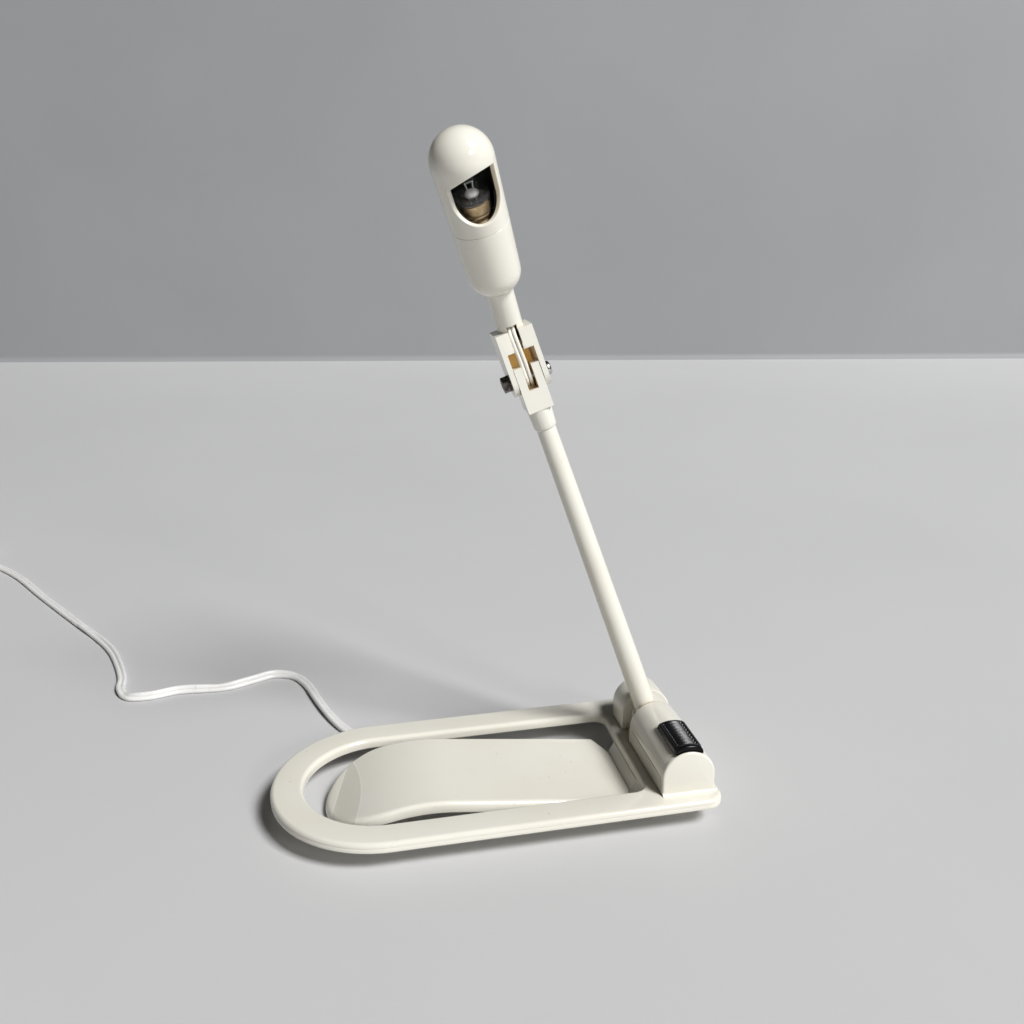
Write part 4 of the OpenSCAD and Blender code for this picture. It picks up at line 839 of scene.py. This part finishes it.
CAP_R, CAP_L, CAP_TOP, GLASS_R, GLASS_WALL = 5.9, 17.0, 36.0, 6.6, 0.5
GLASS_Z = CAP_TOP + math.sqrt(GLASS_R ** 2 - (CAP_R - 0.4) ** 2)


def glass_side(wall, count=40):
    """Half section of the glass: a straight neck in the cap, then nearly a whole circle."""
    neck = CAP_R - 1.4 - wall
    turn = np.linspace(np.pi - math.asin(neck / (GLASS_R - wall)), 0, count)
    ball = (GLASS_R - wall) * coords(np.sin(turn), np.cos(turn)) + (0.0, GLASS_Z)
    ball[-1, 0] = 0.0
    return joined([[neck, CAP_TOP - 4.0]], ball)


clear, glass_wire = finish_of("clear_glass")
film = glass_wire.cloud(0.003, 4.0).ramp(0.45, 0.8)
coat(clear, {"Base Color": film.tint((0.86, 0.88, 0.90, 1), (0.70, 0.70, 0.70, 1)), "Alpha": 0.05,
             "Roughness": 0.004 + 0.01 * film, "Transmission Weight": 1.0, "IOR": 1.47})
smoked = clear.node_tree.nodes.new("ShaderNodeBsdfPrincipled")
height = glass_wire.along(NECK_AXES[2], HEAD)
# Painted reflection: a light grey ring on the smoked glass just above the cap.
rim_reflection = 1.0 - height.ramp(CAP_TOP + 0.55, CAP_TOP + 0.8)
smoke = film.tint((0.10, 0.10, 0.105, 1), (0.13, 0.13, 0.128, 1))
glass_wire.feed(smoked.inputs["Base Color"], rim_reflection.tint(smoke, (0.33, 0.32, 0.30, 1)))
glass_wire.feed(smoked.inputs["Roughness"], 0.16 + 0.1 * film)
smoky = 0.62 * (1.0 - height.ramp(CAP_TOP + 1.0, GLASS_Z + 0.2))
mixed = glass_wire.node("ShaderNodeMixShader", {}, {
    0: smoky, 1: Wire(clear.node_tree, clear.node_tree.nodes["Principled BSDF"].outputs[0]),
    2: Wire(clear.node_tree, smoked.outputs[0])})
glass_wire.feed(clear.node_tree.nodes["Material Output"].inputs["Surface"], mixed)
glass = joined(glass_side(0.0), glass_side(GLASS_WALL)[::-1])
piece("bulb_ball", [spun(glass, on_head, 96, closed=True)], clear, "head", ["bulb_glass"])

THREAD_PITCH, THREAD_DEPTH, COLLAR_L, RUN_OUT = 2.4, 0.45, 3.4, 0.8
CAP_FOOT, CAP_FLOOR, CAP_IN = CAP_TOP - CAP_L, CAP_TOP - CAP_L + 1.5, CAP_R - 1.2
brass = bare_metal("dull_brass", (0.70, 0.56, 0.36, 1), (0.50, 0.38, 0.22, 1), 0.42, 0.0006)
cap_z = np.linspace(0, CAP_L, 120)[:, None]
cap_turn = np.linspace(0, 2 * np.pi, 96, endpoint=False)[None, :]
in_thread = np.clip((CAP_L - COLLAR_L - cap_z) / RUN_OUT, 0, 1) * np.clip(cap_z / RUN_OUT, 0, 1)
thread = 0.5 + 0.5 * np.cos(2 * np.pi * cap_z / THREAD_PITCH - cap_turn)
cap_radius = CAP_R - THREAD_DEPTH * in_thread * thread
cap_rings = coords(cap_radius * np.cos(cap_turn), cap_radius * np.sin(cap_turn),
                   cap_z + CAP_TOP - CAP_L)
cap_inside = turned([(CAP_R - 0.3, CAP_TOP), (CAP_R - 0.9, CAP_TOP - 0.6), (CAP_IN, CAP_TOP - 1.2),
                     (CAP_IN, CAP_FLOOR), (0, CAP_FLOOR)], 96)
cap_foot = turned([(0, CAP_FOOT), (CAP_R - 0.3, CAP_FOOT)], 96)
cap_rings = joined(cap_foot, cap_rings, cap_inside)
piece("bulb_screw_cap", [skin(on_head(cap_rings), ends=(False, False))],
      brass, "head", ["bulb_cap"])


def mottled(name, light, dark, blot, detail, rough, spread, grain):
    """A plain finish: two tones in clouds, with small differences in gloss."""
    material, wire = finish_of(name)
    return coat(material, {"Base Color": wire.cloud(blot, detail).tint(light, dark),
                           "Roughness": rough + spread * wire.cloud(grain)})


BEAD_R, BEAD_HALF, BEAD_Z, WIRE_R, WIRE_X = 2.6, 1.5, GLASS_Z - 1.3, 0.16, 1.1
COIL_HALF, COIL_Z, COIL_WAVE, COIL_TURNS = 1.5, GLASS_Z + 2.8, 0.25, 9
bead_turn = np.radians(np.linspace(-90, 90, 24))
bead = coords(BEAD_R * np.cos(bead_turn), BEAD_Z + BEAD_HALF * np.sin(bead_turn))
bead[[0, -1], 0] = 0.0
wire_round = arc((0, 0), WIRE_R, 0, 360, 10)
supports = [[(s * WIRE_X, 0, CAP_TOP - 6.0), (s * WIRE_X, 0, GLASS_Z - 1.0), (s * WIRE_X, 0, GLASS_Z + 1.4),
             (s * COIL_HALF, 0, COIL_Z)] for s in (-1, 1)]
coil_x = np.linspace(-COIL_HALF, COIL_HALF, 40)
filament = coords(coil_x, COIL_WAVE * np.sin(COIL_TURNS * coil_x),
                  COIL_Z + COIL_WAVE * np.cos(COIL_TURNS * coil_x))
wires = [(smooth(way, 8), wire_round) for way in supports] + [(filament, wire_round * 0.6)]
bead_glass = mottled("bead_glass", (0.98, 0.98, 0.97, 1), (0.90, 0.90, 0.88, 1),
                     0.001, 3.0, 0.08, 0.1, 0.0006)
piece("bulb_mount", [spun(bead, on_head, 40)]
      + [skin(on_head(carried(way, section, (0, 1.0, 0)))) for way, section in wires],
      bead_glass, "head", ["bulb_filament"])
nickel = bare_metal("nickel_plate", (0.80, 0.78, 0.74, 1), (0.66, 0.64, 0.60, 1), 0.08, 0.0008)
dressed(nickel, "holder_shell")
dressed(brass, "centre_contact", "switch_contacts")


# The lamp shade: the domed upper half of the head, which turns by hand on a lip inside the cup.
# A window opens it to one side, round at its lower end under a sloped brow, its right cut face
# tinted brown. It is lined in black.

WINDOW_SIDE, WINDOW_LOW, WINDOW_TOP, WINDOW_EDGE = np.radians(52.0), 4.2, 16.5, 0.45
BROW_SLOPE, BROW_TURN = np.radians(27.9), np.radians(22.0)
WINDOW_HALF = SEAM_R * np.sin(WINDOW_SIDE)
SHADE_LOW = SEAM_H + 0.1
SIDE_L = (DOME_Z - DOME_R * np.sin(TAPER) - SHADE_LOW) / np.cos(TAPER)
SHADE_SPAN = SIDE_L + DOME_R * (np.pi / 2 + TAPER)


def shade_point(azimuth, rise, depth):
    """A point on the shade: azimuth from the window's middle, rise along its side and then over
    its dome, and depth below its outer face."""
    on_dome = np.clip((rise - SIDE_L) / DOME_R, 0, np.pi / 2 + TAPER) - TAPER
    on_side = np.minimum(rise, SIDE_L)
    radius = np.where(rise < SIDE_L, SEAM_R + on_side * np.sin(TAPER), DOME_R * np.cos(on_dome))
    height = np.where(rise < SIDE_L, SHADE_LOW + on_side * np.cos(TAPER), DOME_Z + DOME_R * np.sin(on_dome))
    lean = np.where(rise < SIDE_L, -TAPER, on_dome)
    radius = radius - depth * np.cos(lean)
    height = height - depth * np.sin(lean)
    turn = azimuth - np.pi / 2
    return coords(radius * np.cos(turn), radius * np.sin(turn), height)


def brow(azimuth):
    """Rise of the window's brow: a plane across the head that slopes up towards the window."""
    return WINDOW_TOP + DOME_R * np.tan(BROW_SLOPE) * np.cos(azimuth - BROW_TURN)


FOOT_STEPS, SIDE_STEPS, BROW_STEPS = 64, 24, 40
low_turn = np.radians(np.linspace(180, 360, FOOT_STEPS, endpoint=False))
brow_turn = np.linspace(WINDOW_SIDE, -WINDOW_SIDE, BROW_STEPS, endpoint=False)
sill_top = WINDOW_LOW + WINDOW_HALF
window = joined(
    coords(np.arcsin(np.cos(low_turn) * np.sin(WINDOW_SIDE)),
           WINDOW_LOW + WINDOW_HALF * (1 + np.sin(low_turn))),
    line((WINDOW_SIDE, sill_top), (WINDOW_SIDE, brow(WINDOW_SIDE)), SIDE_STEPS),
    coords(brow_turn, brow(brow_turn)),
    line((-WINDOW_SIDE, brow(-WINDOW_SIDE)), (-WINDOW_SIDE, sill_top), SIDE_STEPS))
border = polygon([(-np.pi, 0.0), (np.pi, 0.0), (np.pi, SHADE_SPAN), (-np.pi, SHADE_SPAN)],
                 (FOOT_STEPS, SIDE_STEPS, BROW_STEPS, SIDE_STEPS))
unrolled = np.array([SEAM_R, 1.0])
outwards = (window * unrolled - inset(window * unrolled, WINDOW_EDGE)) / unrolled / WINDOW_EDGE
edge_end = window + WINDOW_EDGE * outwards
grid = edge_end + np.linspace(0, 1, 34)[:, None, None] ** 1.5 * (border - edge_end)
shade_rings = []
for depth, order in ((HEAD_WALL, -1), (0.0, 1)):
    edge = [shade_point(*(window + i * outwards).T, abs(depth - d)) for i, d in rounding(WINDOW_EDGE)]
    face = shade_point(grid[..., 0], grid[..., 1], depth)
    shade_rings.append(joined(np.stack(edge), face[1:])[::order])
shade_rings = np.concatenate(shade_rings)
points, faces = skin(on_head(shade_rings), ends=(False, False))
around = shade_rings.shape[1]
last = (len(shade_rings) - 1) * around
foot = np.arange(FOOT_STEPS)
faces += coords(last + foot, last + (foot + 1) % around, (foot + 1) % around, foot).tolist()
LIP_R, LIP_T, LIP_LOW, LIP_TOP = LIP_BORE - 0.05, 1.4, SEAM_H - 3.8, SEAM_H + 1.9
lip_side = [(LIP_R - LIP_T, LIP_LOW), (LIP_R, LIP_LOW), (LIP_R, LIP_TOP), (LIP_R - LIP_T, LIP_TOP)]
CUT_FACE_BROWN = (0.72, 0.60, 0.40, 1.0)
# Painted shade: a tan tone where the shade's faces hide each other, stronger than on the other ivory.
shade_ivory = moulded_plastic("ivory_shade", IVORY, IVORY_SHADE, 0.08, (0.40, 0.80), (0.80, 0.67, 0.42))
dome_wire = Wire(shade_ivory.node_tree)
from_right, from_front, from_foot = (dome_wire.along(axis, HEAD) for axis in NECK_AXES)
from_axis = (from_right * from_right + from_front * from_front) ** 0.5
# The window's right cut face and the wall just inside it turn brown.
below_face = SEAM_R + (from_foot - SEAM_H) * math.tan(TAPER) - from_axis
right_cut_tint = below_face.ramp(0.1, 0.35) * from_right.ramp(3.0, 6.0) * from_foot.under(DOME_Z)
coat(shade_ivory, {"Base Color": (right_cut_tint * 0.7).tint(base_colour(shade_ivory), CUT_FACE_BROWN)})
piece("lamp_shade_dome", [(points, faces), spun(lip_side, on_head, 96, closed=True)],
      shade_ivory, "shade", ["lamp_shade"])

LINING_LOW, LINING_OUT, LINING_IN, LINING_LAP = 2.2, HEAD_WALL + 0.3, HEAD_WALL + 0.3 + 0.35, 0.02


def lining_wall(azimuth, low, high):
    """Skin of a thin sheet behind the shade's side, between two rises."""
    corners = ((low, LINING_OUT), (high, LINING_OUT), (high, LINING_IN), (low, LINING_IN))
    sheet = [shade_point(azimuth, rise, depth) for rise, depth in corners]
    return skin(on_head(np.stack(sheet, axis=1)))


open_turn = WINDOW_SIDE + np.radians(7.0)
behind_turn = np.linspace(open_turn, 2 * np.pi - open_turn, 90)
window_turn = np.linspace(-open_turn - LINING_LAP, open_turn + LINING_LAP, 50)
sill_turn = np.linspace(-WINDOW_SIDE, WINDOW_SIDE, 41)
sill_fall = np.sqrt(np.maximum(1 - (np.sin(sill_turn) / np.sin(WINDOW_SIDE)) ** 2, 0))
sill = np.interp(window_turn, sill_turn, WINDOW_LOW + WINDOW_HALF * (1 - sill_fall)) - 0.5
# A black finish for the lining inside the shade.
lining_black = mottled("black_lining", (0.010, 0.010, 0.010, 1), (0.022, 0.020, 0.018, 1),
               0.004, 4.0, 0.5, 0.2, 0.002)
coat(lining_black, {"Metallic": 0.3})
lining = [lining_wall(behind_turn, LINING_LOW, SIDE_L), lining_wall(window_turn, LINING_LOW, sill),
          lining_wall(window_turn, brow(window_turn) + 0.4, SIDE_L)]
piece("shade_lining", lining, lining_black, "shade", ["shade_liner"])


# The cord: flat white twin flex with a groove between its cores, out of the bush, along the table
# and away to a tied coil just outside the view. It twists a little, and shows its flat side to the
# front where it runs across.

pvc = white_pvc("white_pvc_cord", (0.88, 0.877, 0.86, 1.0), (0.82, 0.812, 0.785, 1.0), 0.28)
CORD_Z, CORD_W, CORD_T, STEPS, TABLE_STRETCHES = 1.2, 4.5, 2.3, 8, 30
route = [(64, 33, 4.5), (64, 37, 4), (63, 42, 3), (59, 47, 2)]
route += [(x, y, CORD_Z) for x, y in (
    (52, 50), (42, 51), (26, 51), (8, 51), (-10, 51), (-26, 51), (-38, 52), (-47, 56), (-53, 62),
    (-58, 72), (-62, 83), (-66, 97), (-70, 112), (-76, 123), (-86, 127), (-97, 123), (-108, 119),
    (-120, 119), (-133, 120), (-146, 117), (-156, 119), (-161, 128), (-162, 141), (-166, 158),
    (-172, 176), (-181, 194), (-195, 217), (-210, 242), (-226, 269), (-243, 299), (-256, 318))]
route += [(-269, 333, 1.4), (-278, 344, 2), (-281, 349, 2.6), (-281, 353.5, 2.95)]
COIL_AT, COIL_R, COIL_PITCH, LAYER_TURNS, COIL_DIP = (-312.0, 358.0), 31.0, 2.85, 3.5, 1.0
LOW_Z, LAYER_PITCH, COIL_TAIL = 2.95, 5.2, 14.0
COIL_IN = COIL_R - COIL_PITCH * LAYER_TURNS
turns = np.linspace(0, 2 * LAYER_TURNS + 0.5, 361)
climb = np.clip((turns - LAYER_TURNS) / 0.5, 0, 1)
coil_r = np.where(turns < LAYER_TURNS + 0.25, np.maximum(COIL_R - COIL_PITCH * turns, COIL_IN),
                  np.maximum(COIL_IN + COIL_PITCH * (turns - LAYER_TURNS - 0.5), COIL_IN))
coil_r = coil_r - COIL_DIP * np.sin(np.pi * climb)
coil_turn = 2 * np.pi * turns
coil = coords(COIL_AT[0] + coil_r * np.cos(coil_turn), COIL_AT[1] + coil_r * np.sin(coil_turn),
              LOW_Z + LAYER_PITCH * climb ** 2 * (3 - 2 * climb))
tail = coil[-1] + np.linspace(0, 1, 8)[1:, None] * (0, -COIL_TAIL, 0)
cord_path = joined(smooth(route, STEPS), coil, tail)
core = CORD_T / 2
apart = CORD_W / 2 - core


def between_ends(at, start, fade_in, stop, fade_out):
    """0 before the start and after the stop, and 1 between them, with a straight rise and fall."""
    return np.clip((at - start) / fade_in, 0, 1) * np.clip((stop - at) / fade_out, 0, 1)


WAVE_TURN, WAVE_START, WAVE_L = 0.3, 190.0, 118.0
ACROSS_TURN, DIP, DIP_AT, DIP_L = 0.85, 0.55, 238.0, 7.0
on_table = np.arange(len(cord_path)) < TABLE_STRETCHES * STEPS
cord_at = joined([0], np.cumsum(np.linalg.norm(np.diff(cord_path, axis=0), axis=1)))
across = between_ends(cord_at, 198.0, 14.0, 288.0, 12.0)
twist = WAVE_TURN * np.sin((cord_at - WAVE_START) * 2 * np.pi / WAVE_L) * (1 - across)
twist = twist + ACROSS_TURN * across * (1 - DIP * np.exp(-((cord_at - DIP_AT) / DIP_L) ** 2))
twist = twist * between_ends(cord_at, 60.0, 40.0, 460.0, 60.0) * on_table
on_edge = np.arcsin(np.clip((cord_path[:, 2] - CORD_Z) / apart, 0, 1))
cord_path = cord_path + (apart * np.abs(np.sin(twist)))[:, None] * upright
twin = joined(arc((apart, 0), core, -130, 130, 16), [[0.0, core * 0.4]],
              arc((-apart, 0), core, 50, 310, 16), [[0.0, -core * 0.4]])
flex = piece("cord_flex", [skin(carried(cord_path, twin, upright, np.where(on_table, twist, on_edge)))],
             pvc, "base", ["cord_run", "cord_coil"], 60.0)


# The tie, the plug and the bush on the cord: a black band round the coil, a moulded plug with two
# round pins, and a tapered bush that grips the flex where it leaves the tray.

TIE_LOW, TIE_HIGH, TIE_TOP = COIL_IN - 1.0 - core - 0.2, COIL_R + core + 0.2, 10.5
TIE_T, TIE_W, TIE_ROUND, TIE_TURN = 0.6, 4.0, 1.4, np.radians(100.0)
BAND_LOW, BAND_HIGH = TIE_LOW - TIE_T + TIE_ROUND, TIE_HIGH + TIE_T - TIE_ROUND
BAND_TOP = TIE_TOP + TIE_T - TIE_ROUND
corners = (BAND_HIGH, TIE_ROUND), (BAND_HIGH, BAND_TOP), (BAND_LOW, BAND_TOP), (BAND_LOW, TIE_ROUND)
band = np.concatenate([arc(at, TIE_ROUND, 90 * i - 90, 90 * i, 6) for i, at in enumerate(corners)])
inner_band = inset(band, TIE_T)
tie = np.stack([level(band, -TIE_W / 2), level(band, TIE_W / 2),
                level(inner_band, TIE_W / 2), level(inner_band, -TIE_W / 2)])
on_coil = frame_at((*COIL_AT, 0.0), [[np.cos(TIE_TURN), np.sin(TIE_TURN), 0], [0, 0, 1],
                                     [-np.sin(TIE_TURN), np.cos(TIE_TURN), 0]])
cord_tie = piece("coil_band", [skin(on_coil(tie), closed=True)],
                 black, "base", ["coil_tie"])

PLUG = np.array([COIL_AT[0] - COIL_R, COIL_AT[1] - COIL_TAIL, LOW_Z + LAYER_PITCH])
PLUG_HALF, PLUG_L, PLUG_CORNER, PLUG_EDGE, PLUG_HIGH = 13.5, 24.0, 5, 1.6, PLUG[2] - 0.2
TAIL_L, TAIL_LAP, TAIL_R, TAIL_FLARE, TAIL_RIB = 14.0, 0.8, 3.0, 2.5, 0.35
PIN_R, PIN_L, PIN_GAP = 2.0, 19.0, 19.0
PLUG_AXES = np.diag([-1.0, -1.0, 1.0])
on_plug, along_plug = frame_at(PLUG, PLUG_AXES), frame_at(PLUG, PLUG_AXES[UP_ALONG_Y])


def ribs(at, depth, pitch, start, stop):
    """Depth of round grooves at a pitch between a start and a stop."""
    return depth * (0.5 - 0.5 * np.cos(2 * np.pi * at / pitch)) * (at > start) * (at < stop)


plug_back = TAIL_L - 0.1
plug_face = plug_back + PLUG_L
plug_plan = joined(
    arc((-PLUG_HALF + PLUG_CORNER, plug_back + PLUG_CORNER), PLUG_CORNER, 180, 270, 8),
    arc((PLUG_HALF - PLUG_CORNER, plug_back + PLUG_CORNER), PLUG_CORNER, 270, 360, 8),
    line((PLUG_HALF, plug_back + PLUG_CORNER + 1), (PLUG_HALF, plug_face), 8),
    line((PLUG_HALF, plug_face), (-PLUG_HALF, plug_face), 12),
    line((-PLUG_HALF, plug_face), (-PLUG_HALF, plug_back + PLUG_CORNER + 1), 8))
tail_z = np.linspace(0, TAIL_L + TAIL_LAP, 60)
tail_r = TAIL_R + TAIL_FLARE * tail_z / TAIL_L - ribs(tail_z, TAIL_RIB, 2.4, 1.2, 12)
tail_side = joined([[0, 0]], coords(tail_r, tail_z), [[0, TAIL_L + TAIL_LAP]])
plug = piece("plug_moulding", [skin(on_plug(slab(plug_plan, -PLUG_HIGH, PLUG_HIGH, PLUG_EDGE, PLUG_EDGE))),
                               spun(tail_side, along_plug, 48)], pvc, "base", ["plug_body"])
pin_end = plug_face + PIN_L
pin_side = [(0, plug_face - 1), (PIN_R, plug_face - 1), (PIN_R, pin_end - 1),
            (PIN_R - 0.25, pin_end - 0.35), (PIN_R - 0.8, pin_end), (0, pin_end)]
pin = turned(pin_side, 40)
pins = piece("plug_pin_pair", [skin(along_plug(pin + (s * PIN_GAP / 2, 0, 0)), ends=(False, False))
                               for s in (-1, 1)], nickel, "base", ["plug_pins"])
cord_path * MM

BUSH, BUSH_L, BUSH_R, BUSH_TAPER, BUSH_RIB = np.array([64.0, 13.0, 4.5]), 20.0, 3.4, 0.7, 0.3
FLANGE_R, FLANGE_FROM, FLANGE_TO = 3.9, -3.6, -2.0
bush_y = np.linspace(0, BUSH_L, 70)
bush_r = BUSH_R - BUSH_TAPER * bush_y / BUSH_L - ribs(bush_y, BUSH_RIB, 2.8, 1.4, 18.2)
bush_side = joined(
    [[0, FLANGE_FROM], [FLANGE_R, FLANGE_FROM], [FLANGE_R, FLANGE_TO], [BUSH_R, FLANGE_TO]],
    coords(bush_r, bush_y), [[0, BUSH_L]])
piece("cord_bush_moulding", [spun(bush_side, frame_at(BUSH, np.eye(3)[UP_ALONG_Y]), 48)],
      pvc, "base", ["cord_bush"])


# What stays inside: the tray's screws, the hinge bolt with its nut and washers, the switch, the
# crimped joint, the lamp holder and the bulb's insulator.

dressed(steel, "tray_screws", "hinge_nut", "hinge_bolt")
brown = mottled("brown_phenolic", (0.10, 0.045, 0.02, 1), (0.05, 0.022, 0.012, 1),
                0.002, 5.0, 0.35, 0.2, 0.001)
dressed(brown, "switch_body", "bulb_base", "lamp_holder")
linen = moulded_plastic("natural_nylon", (0.66, 0.63, 0.55, 1.0), (0.58, 0.54, 0.45, 1.0), 0.4)
dressed(linen, "lead_joint", "friction_washers")

bpy.context.view_layer.update()
